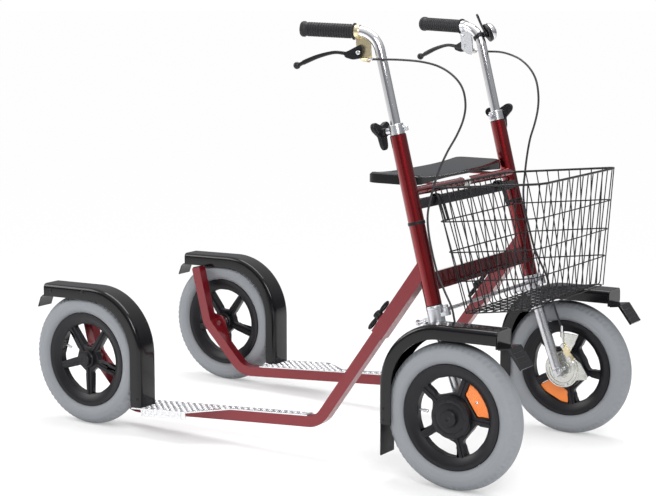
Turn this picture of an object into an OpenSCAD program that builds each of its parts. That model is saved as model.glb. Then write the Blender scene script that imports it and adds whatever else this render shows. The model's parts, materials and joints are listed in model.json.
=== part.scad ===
// Four-wheeled kick scooter with two tall steering columns, a folding seat and a wire basket.
// Millimetres.  +X is forward, +Y is left, +Z is up.
// The origin is on the ground, midway between the two ends and between the two sides.

/* [Overall] */
// Distance from the rear axles to the front axles
wheelbase = 1000; // [960:10:1060]
// Distance from the middle plane to each steering column
column_y = 226; // [200:1:250]
// Gap between the fork leg and the tyre
tyre_gap = 10.5; // [8:0.5:14]

/* [Wheels] */
// Outer diameter of every tyre
tyre_d = 317; // [300:1:330]
// Width of every tyre
tyre_w = 52; // [44:1:56]
// Diameter over the rim flanges
rim_d = 227; // [215:1:235]
// Width over the rim flanges
rim_w = 36; // [30:1:40]
// Diameter of the wheel axles
axle_d = 12; // [10:0.5:12]
// Outer diameter of the wheel bearings
bearing_d = 28; // [26:1:30]
// Width of the wheel bearings
bearing_w = 8; // [6:1:9]
// Number of spokes in a wheel
spokes = 5; // [4:1:6]
// Diameter of the front drum hub
drum_hub_d = 92; // [84:1:96]
// Diameter of the brake drum inside the front hub
drum_d = 76; // [66:1:78]
// Diameter of the rear hub barrel
rear_hub_d = 42; // [38:1:50]

/* [Steering columns] */
// Rearward lean of the steering columns, in degrees from upright
lean = 14.4; // [10:0.1:18]
// How far the foot of the head tube lies behind the front axle
head_back = 80; // [70:1:90]
// Height of the foot of the head tube above the front axle
head_rise = 220.5; // [210:0.5:240]
// Length of a head tube
head_len = 366; // [320:1:400]
// Outer diameter of a head tube
head_d = 35; // [34:0.5:38]
// Inner diameter of a head tube
head_bore = 31; // [30:0.5:31.5]
// Outer diameter of the steerer tube
steerer_d = 27; // [26:0.5:27.5]
// Diameter of the fork crown
crown_d = 36; // [34:1:38]
// Length of the fork crown
crown_len = 46; // [40:1:50]
// Diameter of the fork leg
leg_d = 25; // [22:0.5:26]
// Distance from the steering axis to the tie rod pin
steer_arm = 28; // [27:0.5:32]
// Diameter of the tie rod
tie_rod_d = 8; // [6:0.5:9]
// Diameter of the tie rod pins
tie_pin_d = 7; // [6:0.5:7]

/* [Handles] */
// Outer diameter of a handle tube
handle_d = 22.2; // [20:0.1:22.2]
// Wall of a handle tube
handle_wall = 2; // [1.5:0.1:3]
// Depth of the handle tube inside the steerer
handle_in = 150; // [120:5:180]
// Height of the handle bend above the top of the head tube
handle_up = 183; // [150:1:220]
// Bend radius of a handle tube
handle_bend = 52; // [45:1:60]
// Sideways splay of a grip, in degrees
grip_splay = 11; // [0:1:16]
// Rise of a grip towards its end, in degrees
grip_rise = 2; // [0:1:6]
// Length of a grip
grip_len = 125; // [110:1:135]
// Diameter of a grip
grip_d = 31; // [28:0.5:34]
// Drop of the lever pivot below the grip
lever_drop = 44; // [40:1:50]

/* [Frame] */
// Width across the flats of the rails
rail_w = 25; // [22:0.5:28]
// Wall of the rails and sleeves
rail_wall = 2.5; // [2:0.25:3]
// Height of the rail centre line midway between the axles
rail_z = 74; // [68:1:82]
// Upward slope of the rail towards the front, in degrees
rail_slope = 4.2; // [3:0.1:5]
// Slope of the diagonal part of the rail, in degrees
rail_rise = 54.5; // [52:0.5:57]
// Length of rail inside its sleeve
rail_in = 105; // [80:5:110]
// Clearance between the rail and its sleeve, each side
sleeve_gap = 0.4; // [0.3:0.05:0.6]
// Height of the lower cross beam
beam_h = 38; // [30:1:42]
// Diameter of the seat cross tube
seat_tube_d = 20; // [18:0.5:22]

/* [Seat] */
// Width of the seat
seat_w = 410; // [380:1:414]
// Length of the seat from back to front
seat_l = 128; // [110:1:140]
// Thickness of the seat
seat_t = 24; // [20:1:28]
// Height of the seat top above the front axle
seat_rise = 491.5; // [480:0.5:500]

/* [Basket] */
// Half of the basket's width
basket_half = 187; // [170:1:190]
// Diameter of the basket's thin wires
wire_d = 3; // [2.5:0.1:3.5]
// Diameter of the basket's rim wires
rim_wire_d = 5; // [4:0.5:6]
// Upright wires in each side of the basket
side_wires = 9; // [6:1:12]
// Upright wires in the front of the basket
front_wires = 14; // [8:1:18]

/* [Footboards] */
// Thickness of a footboard
board_t = 3; // [2:0.25:4]
// Depth of a footboard's turned-down edge
board_edge = 18; // [12:1:22]

/* [Fenders] */
// Thickness of the fender shells
fender_t = 2.5; // [2:0.25:3]
// Depth of the fender's side walls
fender_side = 29; // [24:1:32]
// Gap between a tyre's side and its fender's side wall
fender_gap = 4.5; // [3:0.5:6]

/* [Cables] */
// Outer diameter of a brake cable
cable_d = 5; // [4.5:0.1:6]

/* [Hidden] */

$fn = 64;
run = 0.05;          // running clearance on a radius
gap = 0.3;           // rest clearance between pieces that move apart
far = 400;           // longer than anything that it cuts
deep = 1;            // a cut reaches this far past the face that it opens

axle_z = tyre_d / 2;
nose_reach = 168;    // the front flap's tip, ahead of the front axle
front_x = (wheelbase + tyre_d / 2 - nose_reach) / 2;
rear_x = front_x - wheelbase;
wheel_y = column_y + leg_d / 2 + tyre_gap + tyre_w / 2;
head_x = front_x - head_back;
head_z = axle_z + head_rise;
fender_front = 178;          // front face of a rear fender, ahead of its axle
fender_back = 168;           // rear face of a front fender, behind its axle
fender_in = wheel_y - tyre_w / 2 - fender_gap;
fender_out = wheel_y + tyre_w / 2 + fender_gap;

// Colours
red = [0.55, 0.04, 0.07];
black = [0.05, 0.05, 0.055];
satin_black = [0.09, 0.09, 0.1];
silver = [0.74, 0.75, 0.76];
chrome = [0.85, 0.86, 0.88];
zinc = [0.80, 0.72, 0.50];
tyre_grey = [0.60, 0.62, 0.66];
aluminium = [0.82, 0.82, 0.83];
orange = [1.0, 0.42, 0.05];

// ---------------------------------------------------------------- helpers

// The right side is the mirror image of the left side
module on_side(s) {
    if (s > 0) children();
    else mirror([0, 1, 0]) children();
}

// Local Z runs up the left steering axis from the foot of the head tube
module on_column() {
    translate([head_x, column_y, head_z]) rotate([0, -lean, 0]) children();
}

// Local Z runs outward along a wheel axle, and local X stays forward
module on_axle(x) {
    translate([x, wheel_y, axle_z]) rotate([-90, 0, 0]) children();
}

// A flat shape drawn in X and Z becomes a plate between two Y values
module plate(y0, y1) {
    translate([0, y1, 0]) rotate([90, 0, 0]) linear_extrude(y1 - y0) children();
}

module ring(d_out, d_in, h) {
    difference() {
        cylinder(d = d_out, h = h);
        translate([0, 0, -deep]) cylinder(d = d_in, h = h + 2 * deep);
    }
}

// A straight round bar between two points
module bar(a, b, d) {
    v = b - a;
    turn_y = acos(v[2] / norm(v));
    turn_z = atan2(v[1], v[0]);
    translate(a) rotate([0, turn_y, turn_z]) cylinder(d = d, h = norm(v), $fn = 24);
}

// Bends of a flat path: direction, turn and tangent length at each corner
function heading(p, q) = atan2(q[1] - p[1], q[0] - p[0]);
function wrap(a) = a > 180 ? a - 360 : a < -180 ? a + 360 : a;
function turn_at(pts, i) = wrap(heading(pts[i], pts[i + 1]) - heading(pts[i - 1], pts[i]));
function is_corner(pts, i) = i > 0 && i < len(pts) - 1;
function tangent(pts, radii, i) =
    is_corner(pts, i) ? radii[i] * tan(abs(turn_at(pts, i)) / 2) : 0;
function toward(a, length) = length * [cos(a), sin(a)];

arc_step = 4;        // degrees between points of a rounded corner

// Points round corner i of a path, shifted to its left by a distance
function corner_pts(pts, radii, i, shift) =
    let (bend = turn_at(pts, i), side = bend > 0 ? 90 : -90, h = heading(pts[i - 1], pts[i]),
        centre = pts[i] - toward(h, tangent(pts, radii, i)) + toward(h + side, radii[i]),
        steps = ceil(abs(bend) / arc_step))
    [for (k = [0 : steps])
        centre + toward(h - side + bend * k / steps, radii[i] - sign(bend) * shift)];

function shifted_path(pts, radii, shift) = let (last = len(pts) - 1) [
    pts[0] + toward(heading(pts[0], pts[1]) + 90, shift),
    for (i = [1 : 1 : last - 1]) each corner_pts(pts, radii, i, shift),
    pts[last] + toward(heading(pts[last - 1], pts[last]) + 90, shift)];

function reversed(list) = [for (i = [len(list) - 1 : -1 : 0]) list[i]];

// A strip of width w along a path with rounded corners
module strip(pts, radii, w) {
    polygon(concat(shifted_path(pts, radii, w / 2), reversed(shifted_path(pts, radii, -w / 2))));
}

// A rounded rectangle centred on the origin, made of true arcs
module rounded(size, r) {
    square([size[0] - 2 * r, size[1]], center = true);
    square([size[0], size[1] - 2 * r], center = true);
    for (sx = [-1, 1], sy = [-1, 1])
        translate([sx * (size[0] / 2 - r), sy * (size[1] / 2 - r)]) circle(r);
}

// ---------------------------------------------------------------- front frame

module head_tube(s) {
    color(red) on_side(s) on_column() ring(head_d, head_bore, head_len);
}

bush_len = 16;
bush_flange_t = 1.5;

module head_bush() {
    ring(head_bore, steerer_d + 2 * run, bush_len);
    translate([0, 0, -bush_flange_t]) ring(head_d - 1, steerer_d + 2 * run, bush_flange_t);
}

module head_bushes() {
    color(satin_black) for (s = [-1, 1]) on_side(s) on_column() {
        head_bush();
        translate([0, 0, head_len]) mirror([0, 0, 1]) head_bush();
    }
}

// Place of the steering axis at a height
function axis_x(z) = head_x - (z - head_z) * tan(lean);

module cut_head_tubes() {
    for (s = [-1, 1]) on_side(s) on_column()
        translate([0, 0, -far / 2]) cylinder(d = head_d, h = head_len + far);
}

beam_t = 20;
beam_z = head_z + 47;
seat_tube_z = axle_z + seat_rise - seat_t - seat_tube_d / 2 - gap;
seat_tube_x = axis_x(seat_tube_z) + 6;
seat_arm_w = 22;
seat_arm_t = 4;
seat_arm_y = 120;

module cross_members() {
    color(red) {
        difference() {
            translate([axis_x(beam_z), 0, beam_z]) rotate([0, -lean, 0])
                cube([beam_t, 2 * column_y, beam_h], center = true);
            cut_head_tubes();
            cut_sleeves();
        }
        difference() {
            union() {
                translate([seat_tube_x, -column_y, seat_tube_z]) rotate([-90, 0, 0])
                    cylinder(d = seat_tube_d, h = 2 * column_y);
                for (s = [-1, 1]) on_side(s)
                    translate([seat_tube_x - seat_l * 0.7, seat_arm_y - seat_arm_w / 2,
                            seat_tube_z + seat_tube_d / 2 - seat_arm_t])
                        cube([seat_l * 0.7, seat_arm_w, seat_arm_t]);
            }
            cut_head_tubes();
            cut_sleeves();
        }
    }
}

// The rail's centre line, rear end first, in X and Z
low_x = rear_x + 92;
corner_x = front_x - 368;
rail_top = [rear_x - 57, axle_z + 146];
rail_mid = [rear_x - 21, axle_z + 2];
rail_low = [low_x, rail_z + low_x * tan(rail_slope)];
rail_corner = [corner_x, rail_z + corner_x * tan(rail_slope)];
rise_dir = [cos(rail_rise), sin(rail_rise)];
// Where the diagonal meets the steering axis, measured along the diagonal from the corner
rail_to_axis = (head_x - rail_corner[0] - (rail_corner[1] - head_z) * tan(lean))
    / (rise_dir[0] + rise_dir[1] * tan(lean));
sleeve_len = 195;
sleeve_start = rail_to_axis - sleeve_len;
rail_end = rail_corner + (sleeve_start + rail_in) * rise_dir;
rail_pts = [rail_top, rail_mid, rail_low, rail_corner, rail_end];
rail_radii = [0, 30, 60, 55, 0];
sleeve_out = rail_w + 2 * (sleeve_gap + rail_wall);
sleeve_in = rail_w + 2 * sleeve_gap;
knob_along = 32;
sleeve_screw_d = 8;

// Local X runs up the diagonal from the sleeve's lower end, local Z is across it
module on_sleeve() {
    translate([rail_corner[0] + sleeve_start * rise_dir[0], column_y,
            rail_corner[1] + sleeve_start * rise_dir[1]])
        rotate([0, -rail_rise, 0]) children();
}

module cut_sleeves() {
    for (s = [-1, 1]) on_side(s) on_sleeve()
        translate([0, -sleeve_out / 2 - gap, -sleeve_out / 2 - gap])
            cube([sleeve_len + sleeve_out, sleeve_out + 2 * gap, sleeve_out + 2 * gap]);
}

module sleeve(s) {
    color(red) on_side(s) difference() {
        on_sleeve() difference() {
            union() {
                translate([0, -sleeve_out / 2, -sleeve_out / 2])
                    cube([sleeve_len + sleeve_out, sleeve_out, sleeve_out]);
                translate([knob_along, 0, sleeve_out / 2 - deep]) cylinder(d = 16, h = 4 + deep);
            }
            translate([-deep, -sleeve_in / 2, -sleeve_in / 2])
                cube([sleeve_len + sleeve_out + 2 * deep, sleeve_in, sleeve_in]);
            translate([knob_along, 0, 0]) cylinder(d = sleeve_screw_d + 2 * run, h = sleeve_out);
        }
        cut_head_tubes();
        on_column() translate([0, -far / 2, -far / 2]) cube([far, far, far * 2]);
    }
}

module seat_outline(inset) {
    rounded([seat_l - 2 * inset, seat_w - 2 * inset], 30 - inset);
}

seat_x = seat_tube_x - 5 - seat_l / 2;
seat_top = axle_z + seat_rise;

module seat() {
    color(black) translate([seat_x, 0, seat_top - seat_t]) {
        linear_extrude(seat_t - 4) seat_outline(0);
        translate([0, 0, seat_t - 4]) linear_extrude(4) seat_outline(4);
    }
}

carrier_h = 20;
carrier_t = 12;
carrier_x = seat_tube_x + 10;
carrier_top = seat_tube_z - seat_tube_d / 2 - rim_wire_d - 3 * gap;

module basket_carrier() {
    color(black) difference() {
        translate([carrier_x - carrier_t / 2, -column_y, carrier_top - carrier_h])
            cube([carrier_t, 2 * column_y, carrier_h]);
        cut_head_tubes();
    }
}

// ---------------------------------------------------------------- basket

// Corners of the basket's side view, in X and Z
basket_rear_low = [head_x + 46, head_z - 21];
basket_rear_top = [head_x - 40, head_z + 241];
basket_front_low = [front_x + 128, head_z + 3];
basket_front_top = [front_x + 150, head_z + 268];
levels = [0, 0.255, 0.485, 0.73, 1];

function mix(a, b, t) = a + (b - a) * t;
function rear_at(t) = mix(basket_rear_low, basket_rear_top, t);
function front_at(t) = mix(basket_front_low, basket_front_top, t);
function at_y(p, y) = [p[0], y, p[1]];
function wire_at(t) = t == 1 ? rim_wire_d : wire_d;
upright_d = wire_d - 0.4;

// Each panel stops short of the corners, where its neighbour's wires start
corner_cut = rim_wire_d / 2 + gap / 2;
inner_half = basket_half - corner_cut;

module side_panel() {
    for (t = levels)
        bar(at_y(rear_at(t), basket_half), at_y(front_at(t), basket_half), wire_at(t));
    for (i = [1 : side_wires]) {
        share = i / (side_wires + 1);
        low = mix(rear_at(0), front_at(0), share);
        top = mix(rear_at(1), front_at(1), share);
        bar(at_y(low, basket_half), at_y(top, basket_half), upright_d);
    }
    bar(at_y(rear_at(0), basket_half), at_y(rear_at(1), basket_half), upright_d);
    bar(at_y(front_at(0), basket_half), at_y(front_at(1), basket_half), upright_d);
}

module basket_left() {
    color(satin_black) side_panel();
}

module basket_right() {
    color(satin_black) mirror([0, 1, 0]) side_panel();
}

module cross_panel(low, top, count) {
    for (t = levels)
        bar(at_y(mix(low, top, t), -inner_half), at_y(mix(low, top, t), inner_half), wire_at(t));
    for (i = [0 : count - 1]) {
        y = -inner_half + inner_half * 2 * (i + 0.5) / count;
        bar(at_y(low, y), at_y(top, y), upright_d);
    }
}

module basket_front() {
    color(satin_black) cross_panel(basket_front_low, basket_front_top, front_wires);
}

hook_y = 150;
hook_front_x = carrier_x + carrier_t / 2 + rim_wire_d / 2 + gap;
hook_rear_x = carrier_x - carrier_t / 2 - rim_wire_d / 2 - gap;
hook_top = carrier_top + rim_wire_d / 2 + gap;
hook_low = rear_at(levels[3]);

module hook(y) {
    front = [hook_front_x, y, hook_top];
    rear = [hook_rear_x, y, hook_top];
    bar(at_y(hook_low, y), front, rim_wire_d);
    bar(front, rear, rim_wire_d);
    bar(rear, rear - [0, 0, 14], rim_wire_d);
    for (p = [front, rear]) translate(p) sphere(d = rim_wire_d + 0.4, $fn = 24);
}

module basket_back() {
    color(satin_black) {
        cross_panel(basket_rear_low, basket_rear_top, front_wires);
        for (s = [-1, 1]) hook(s * hook_y);
    }
}

floor_wires = 6;

module basket_floor() {
    slope = toward(heading(rear_at(0), front_at(0)), wire_d / 2 + gap);
    first = rear_at(0) + slope;
    last = front_at(0) - slope;
    half = basket_half - wire_d / 2 - gap;
    color(satin_black) {
        for (i = [0 : front_wires - 1]) {
            y = -inner_half + inner_half * 2 * (i + 0.5) / front_wires;
            bar(at_y(first, y), at_y(last, y), upright_d);
        }
        for (i = [1 : floor_wires]) {
            p = mix(first, last, i / (floor_wires + 1));
            bar(at_y(p, -half), at_y(p, half), wire_d);
        }
    }
}

// ---------------------------------------------------------------- rails and footboards

dropout_t = 5;
dropout_y = column_y + rail_w / 2;
dropout_pts = [[rear_x - 27, axle_z + 26], [rear_x - 2, axle_z + 20], [rear_x + 18, axle_z + 6],
    [rear_x + 34, axle_z - 40], [rear_x + 12, axle_z - 34], [rear_x - 22, axle_z]];

module rail(s) {
    color(red) on_side(s) {
        difference() {
            plate(column_y - rail_w / 2, column_y + rail_w / 2)
                strip(rail_pts, rail_radii, rail_w);
            plate(column_y - rail_w / 2 + rail_wall, column_y + rail_w / 2 - rail_wall)
                strip(rail_pts, rail_radii, rail_w - 2 * rail_wall);
        }
        plate(dropout_y, dropout_y + dropout_t) difference() {
            union() {
                polygon(dropout_pts);
                translate([rear_x, axle_z]) circle(20);
            }
            translate([rear_x, axle_z]) circle(d = axle_d + 2 * gap);
        }
    }
}

rear_nut_in = wheel_y + 16 + gap;

module rear_axle(s) {
    color(silver) on_side(s) translate([rear_x, 0, axle_z]) rotate([-90, 0, 0]) {
        translate([0, 0, dropout_y + gap]) cylinder(d = axle_d, h = wheel_y + 22 - dropout_y - gap);
        translate([0, 0, dropout_y + dropout_t]) ring(22, axle_d - 1, wheel_y - 18 - gap
            - dropout_y - dropout_t);
        translate([0, 0, rear_nut_in]) cylinder(d = 19, h = 6, $fn = 6);
    }
}

// The board follows the rail: its own X runs along the rail from midway between the axles
board_rear = rear_x + fender_front - fender_side;
board_edge_rear = rear_x + fender_front + gap;
board_out = wheel_y + tyre_w / 2 + fender_gap;
board_in = column_y - rail_w / 2;
board_wide_end = rear_x + 310;
board_narrow = rear_x + 392;
board_front = corner_x - rail_radii[3] * tan((rail_rise - rail_slope) / 2) - 1;

module on_rail() {
    translate([0, 0, rail_z]) rotate([0, -rail_slope, 0]) translate([0, 0, rail_w / 2]) children();
}

module footboard(s) {
    color(aluminium) on_side(s) on_rail() {
        linear_extrude(board_t) polygon([[board_rear, board_in], [board_rear, board_out],
            [board_wide_end, board_out], [board_narrow, column_y + rail_w / 2],
            [board_front, column_y + rail_w / 2], [board_front, board_in]]);
        translate([board_edge_rear, board_out - board_t, board_t - board_edge])
            cube([board_wide_end - board_edge_rear, board_t, board_edge]);
    }
}

// ---------------------------------------------------------------- fenders

// A channel-shaped shell along a path that turns down once; its top skin and two side walls
module fender_shell(pts, radius, depth) {
    skin = [pts[0], pts[1], pts[2]];
    sign_x = pts[1][0] < pts[0][0] ? 1 : -1;
    lower = [pts[0] - [0, depth / 2], pts[1] + [sign_x * depth / 2, -depth / 2],
        pts[2] + [sign_x * depth / 2, 0]];
    plate(fender_in, fender_out) strip(skin, [0, radius, 0], fender_t);
    for (y = [fender_in, fender_out - fender_t])
        plate(y, y + fender_t) strip(lower, [0, radius - depth / 2, 0], depth);
}

module front_fender(s) {
    top = axle_z + 193;
    end_x = front_x + 113;
    end_top = axle_z + 197;
    end_low = end_top - fender_side - 8;
    color(black) on_side(s) {
        fender_shell([[end_x, end_top - fender_t / 2],
            [front_x - fender_back + fender_t / 2, top - fender_t / 2],
            [front_x - fender_back + fender_t / 2, axle_z - 34]], 143, fender_side);
        plate(fender_in, fender_out)
            polygon([[end_x, end_top], [end_x, end_low], [end_x - fender_t, end_low],
                [end_x - fender_t, end_top]]);
        plate(fender_in + 4, fender_out - 4)
            polygon([[end_x + gap / 2, end_low + 2], [end_x + 25, end_low + 5],
                [front_x + nose_reach, axle_z + 126], [end_x + 51, axle_z + 122],
                [end_x + 21, end_low + 1],
                [end_x + gap / 2, end_low - 2]]);
        plate(fender_in + fender_t + gap, fender_out - fender_t - gap)
            translate([front_x - fender_back + fender_t, axle_z - 104]) square([3, 96]);
    }
}

module rear_fender(s) {
    top = axle_z + 183;
    end_x = rear_x - 118;
    end_top = axle_z + 176;
    end_low = end_top - fender_side - 2;
    foot = rail_z + (rear_x + fender_front) * tan(rail_slope)
        + (rail_w / 2 + board_t) / cos(rail_slope) + gap / 2;
    color(black) on_side(s) {
        fender_shell([[end_x, end_top - fender_t / 2],
            [rear_x + fender_front - fender_t / 2, top - fender_t / 2],
            [rear_x + fender_front - fender_t / 2, foot]], 150, fender_side);
        plate(fender_in, fender_out)
            polygon([[end_x, end_top], [end_x, end_low], [end_x + fender_t, end_low],
                [end_x + fender_t, end_top]]);
        plate(fender_in + 4, fender_out - 4)
            polygon([[end_x - gap / 2, end_low + 2], [end_x - 16, end_low],
                [end_x - 36, axle_z + 107], [end_x - 32, axle_z + 103], [end_x - 13, end_low - 4],
                [end_x - gap / 2, end_low - 3]]);
    }
}

// ---------------------------------------------------------------- wheels

function edge_pts(p, q, r) = [for (e = [p, q]) e + r * [(q - p)[1], -(q - p)[0]] / norm(q - p)];

// A spoke window with rounded corners, centred on local +X
module window(r_in, r_out, half_in, half_out, corner) {
    pts = [[r_in, -half_in], [r_out, -half_out], [r_out, half_out], [r_in, half_in]];
    for (p = pts) translate(p) circle(corner, $fn = 32);
    polygon([for (i = [0 : 3]) each edge_pts(pts[i], pts[(i + 1) % 4], corner)]);
}

rim_lip = 4;
rim_bed = rim_d / 2 - 7.5;
web_r = rim_d / 2 - 27;
web_t = 18;
front_corner = 7;
rear_corner = 6;
front_spoke = 14;
rear_spoke = 13;
front_phase = [34, 29];      // right and left wheels
rear_phase = 18;

function half_width(r, spoke, corner) = r * tan(180 / spokes)
    - (spoke / 2 + corner) / cos(180 / spokes);

module front_window(shrink) {
    r_in = drum_hub_d / 2 + 3 + front_corner;
    r_out = web_r - 2 - front_corner;
    window(r_in, r_out, half_width(r_in, front_spoke, front_corner),
        half_width(r_out, front_spoke, front_corner), front_corner - shrink);
}

module rear_window() {
    r_in = rear_hub_d / 2 + 9 + rear_corner;
    r_out = web_r - 2 - rear_corner;
    window(r_in, r_out, half_width(r_in, rear_spoke + 4, rear_corner),
        half_width(r_out, rear_spoke, rear_corner), rear_corner);
}

module rim_band() {
    half = rim_w / 2;
    rotate_extrude() polygon([[web_r, -web_t / 2 - 2], [rim_d / 2 - 6, -half],
        [rim_d / 2, -half], [rim_d / 2, -half + rim_lip], [rim_bed, -half + rim_lip + 1],
        [rim_bed, half - rim_lip - 1], [rim_d / 2, half - rim_lip], [rim_d / 2, half],
        [rim_d / 2 - 6, half], [web_r, web_t / 2 + 2]]);
}

module spoked_web(phase) {
    translate([0, 0, -web_t / 2]) linear_extrude(web_t) difference() {
        circle(web_r + 2);
        for (i = [0 : spokes - 1]) rotate(-phase - i * 360 / spokes) children();
    }
}

// Along each axle, measured outward from the wheel's middle plane
front_inner_bearing = -5;
front_outer_bearing = 10;
rear_inner_bearing = -16;
rear_outer_bearing = 8;
nut_t = 5;
front_hub_in = -tyre_w / 2;
front_hub_out = 21;
front_cap_out = 30;
rear_hub_half = 17;
rear_cap_out = 27;
drum_floor = front_inner_bearing - 1;

module front_rim(s) {
    phase = s > 0 ? front_phase[1] : front_phase[0];
    seat_end = front_outer_bearing + bearing_w + nut_t + 2 * gap + 1;
    color(satin_black) on_side(s) on_axle(front_x) difference() {
        union() {
            rim_band();
            spoked_web(phase) front_window(0);
            translate([0, 0, front_hub_in]) cylinder(d = drum_hub_d,
                h = front_hub_out - front_hub_in);
            cylinder(d = 36, h = front_cap_out);
        }
        translate([0, 0, front_hub_in - deep]) cylinder(d = drum_d,
            h = drum_floor - front_hub_in + deep);
        translate([0, 0, drum_floor - deep]) cylinder(d = bearing_d,
            h = front_inner_bearing + bearing_w - drum_floor + deep);
        translate([0, 0, front_inner_bearing]) cylinder(d = bearing_d - 8, h = 20);
        translate([0, 0, front_outer_bearing]) cylinder(d = bearing_d,
            h = seat_end - front_outer_bearing);
    }
}

module rear_rim(s) {
    color(satin_black) on_side(s) on_axle(rear_x) difference() {
        union() {
            rim_band();
            spoked_web(rear_phase) rear_window();
            translate([0, 0, -rear_hub_half]) cylinder(d = rear_hub_d, h = 2 * rear_hub_half);
            cylinder(d = bearing_d + 5, h = rear_cap_out);
        }
        translate([0, 0, -rear_hub_half - deep]) cylinder(d = bearing_d,
            h = rear_inner_bearing + bearing_w + rear_hub_half + deep);
        translate([0, 0, rear_inner_bearing]) cylinder(d = bearing_d - 8,
            h = rear_outer_bearing - rear_inner_bearing + deep);
        translate([0, 0, rear_outer_bearing]) cylinder(d = bearing_d,
            h = rear_cap_out - 2 - rear_outer_bearing);
    }
}

module tyre(x) {
    middle = tyre_d / 2 - tyre_w / 2;
    on_axle(x) rotate_extrude($fn = 96) difference() {
        union() {
            intersection() {
                translate([middle, 0]) circle(tyre_w / 2);
                translate([rim_d / 2 + gap, -tyre_w / 2]) square([tyre_d, tyre_w]);
            }
            translate([rim_bed + gap, -(rim_w / 2 - rim_lip - gap - 1)])
                square([rim_d / 2 - rim_bed + 2, rim_w - 2 * rim_lip - 2 * gap - 2]);
        }
        translate([middle, 0]) circle(tyre_w / 2 - 7);
    }
}

module bearing_pair(x, starts) {
    on_axle(x) for (z = starts)
        translate([0, 0, z]) ring(bearing_d, axle_d + 2 * run, bearing_w);
}

module rear_bearings(s) {
    color(silver) on_side(s) bearing_pair(rear_x, [rear_inner_bearing, rear_outer_bearing]);
}

module front_bearings(s) {
    color(silver) on_side(s) bearing_pair(front_x, [front_inner_bearing, front_outer_bearing]);
}

module reflector(s) {
    phase = s > 0 ? front_phase[1] : front_phase[0];
    slot = s > 0 ? 3 : 0;
    color(orange) on_side(s) on_axle(front_x) rotate(-phase - slot * 360 / spokes) {
        translate([0, 0, -4]) linear_extrude(8) front_window(0.4);
        translate([(drum_hub_d / 2 + web_r) / 2, 0, 0]) cylinder(d = 7, h = 6);
    }
}

// ---------------------------------------------------------------- forks and brakes

crown_top = -bush_flange_t - gap;
collar_foot = head_len + bush_flange_t + gap;
collar_h = 21;
collar_d = 31;
knob_at = collar_foot + 11;
clamp_screw_d = 8;
clamp_boss_r = 24;
steerer_bore = handle_d + 2 * run;
bore_foot = head_len - handle_in - 70;
arm_top = -19;
arm_t = 8;
eye_h = 9;
eye_d = 15;
leg_top = [axis_x(head_z - 38), column_y, head_z - 38];
leg_foot = [front_x + 1, column_y, axle_z - 14];
lug_z = head_z - 46;

function knob_turn(s) = s > 0 ? 105 : 180;

module fork(s) {
    color(silver) on_side(s) difference() {
        union() {
            on_column() {
                translate([0, 0, crown_top - crown_len]) cylinder(d = crown_d, h = crown_len);
                translate([0, 0, crown_top - deep]) cylinder(d = steerer_d,
                    h = collar_foot - crown_top + 2 * deep);
                translate([0, 0, collar_foot]) cylinder(d = collar_d, h = collar_h);
                translate([0, 0, knob_at]) rotate([0, 0, knob_turn(s)]) rotate([0, 90, 0])
                    cylinder(d = 15, h = clamp_boss_r);
                translate([0, 0, arm_top - arm_t]) {
                    translate([0, -8, 0]) cube([steer_arm, 16, arm_t]);
                    translate([steer_arm, 0, 0]) cylinder(d = 16, h = arm_t);
                    translate([steer_arm, 0, 0]) cylinder(d = tie_pin_d, h = arm_t + eye_h + 2);
                }
                translate([-crown_d / 2 - 14, -7, crown_top - 38]) cube([18, 14, 14]);
                translate([-crown_d / 2 - 30, 0, crown_top - 31]) rotate([0, 90, 0])
                    cylinder(d = 8, h = 20);
            }
            bar(leg_top, leg_foot, leg_d);
            translate([front_x, column_y - leg_d / 2 - 4, axle_z]) rotate([-90, 0, 0]) {
                cylinder(d = axle_d, h = wheel_y - column_y + leg_d / 2 + 4 + 22);
                cylinder(d = 20, h = leg_d / 2 + 4, $fn = 6);
            }
            translate([axis_x(lug_z), column_y, lug_z]) rotate([-90, 0, 0])
                cylinder(d = 14, h = fender_in - column_y);
            translate([front_x, wheel_y + front_outer_bearing + bearing_w + gap, axle_z])
                rotate([-90, 0, 0]) cylinder(d = 19, h = nut_t, $fn = 6);
        }
        on_column() {
            translate([0, 0, bore_foot]) cylinder(d = steerer_bore, h = far);
            translate([0, 0, knob_at]) rotate([0, 0, knob_turn(s)]) rotate([0, 90, 0])
                cylinder(d = clamp_screw_d + 2 * run, h = clamp_boss_r + deep);
        }
    }
}

backplate_y = column_y + leg_d / 2 + 2.5;
backplate_t = 3.5;
backplate_r = drum_hub_d / 2 - 3;
bracket_t = 3.3;
brake_arm_t = 3.5;
arm_pivot = [front_x + 24, axle_z + 30];
arm_tip = [front_x + 4, axle_z + 58];
arm_pin_d = 8;
stop_low = [front_x + 1, backplate_y - 4.5, axle_z + 78];
stop_high = [front_x, backplate_y - 4.5, axle_z + 90];

module brake_plate(s) {
    at = [front_x, axle_z];
    color(silver) on_side(s) {
        difference() {
            union() {
                plate(backplate_y, backplate_y + backplate_t) {
                    translate(at) circle(backplate_r);
                    translate(at) polygon([[26, 32], [47, 18], [64, -8], [62, -18], [36, -22]]);
                }
                plate(backplate_y - bracket_t, backplate_y)
                    translate(at) polygon([[4, 36], [18, 36], [40, 86], [-3, 88], [-3, 78], [4, 60]]);
                bar(stop_low, stop_high, 9);
                translate([arm_pivot[0], backplate_y - bracket_t - brake_arm_t - 3, arm_pivot[1]])
                    rotate([-90, 0, 0]) cylinder(d = arm_pin_d, h = brake_arm_t + 3 + bracket_t);
            }
            translate([front_x, 0, axle_z]) rotate([-90, 0, 0]) cylinder(d = axle_d, h = far);
        }
        for (side = [0, 180])
            plate(backplate_y + backplate_t + gap, backplate_y + backplate_t + 17) translate(at)
                rotate(side) intersection() {
                    difference() {
                        circle(drum_d / 2 - 0.6);
                        circle(drum_d / 2 - 7);
                    }
                    polygon([[0, 0], [60, -60], [60, 60]]);
                }
    }
}

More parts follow.
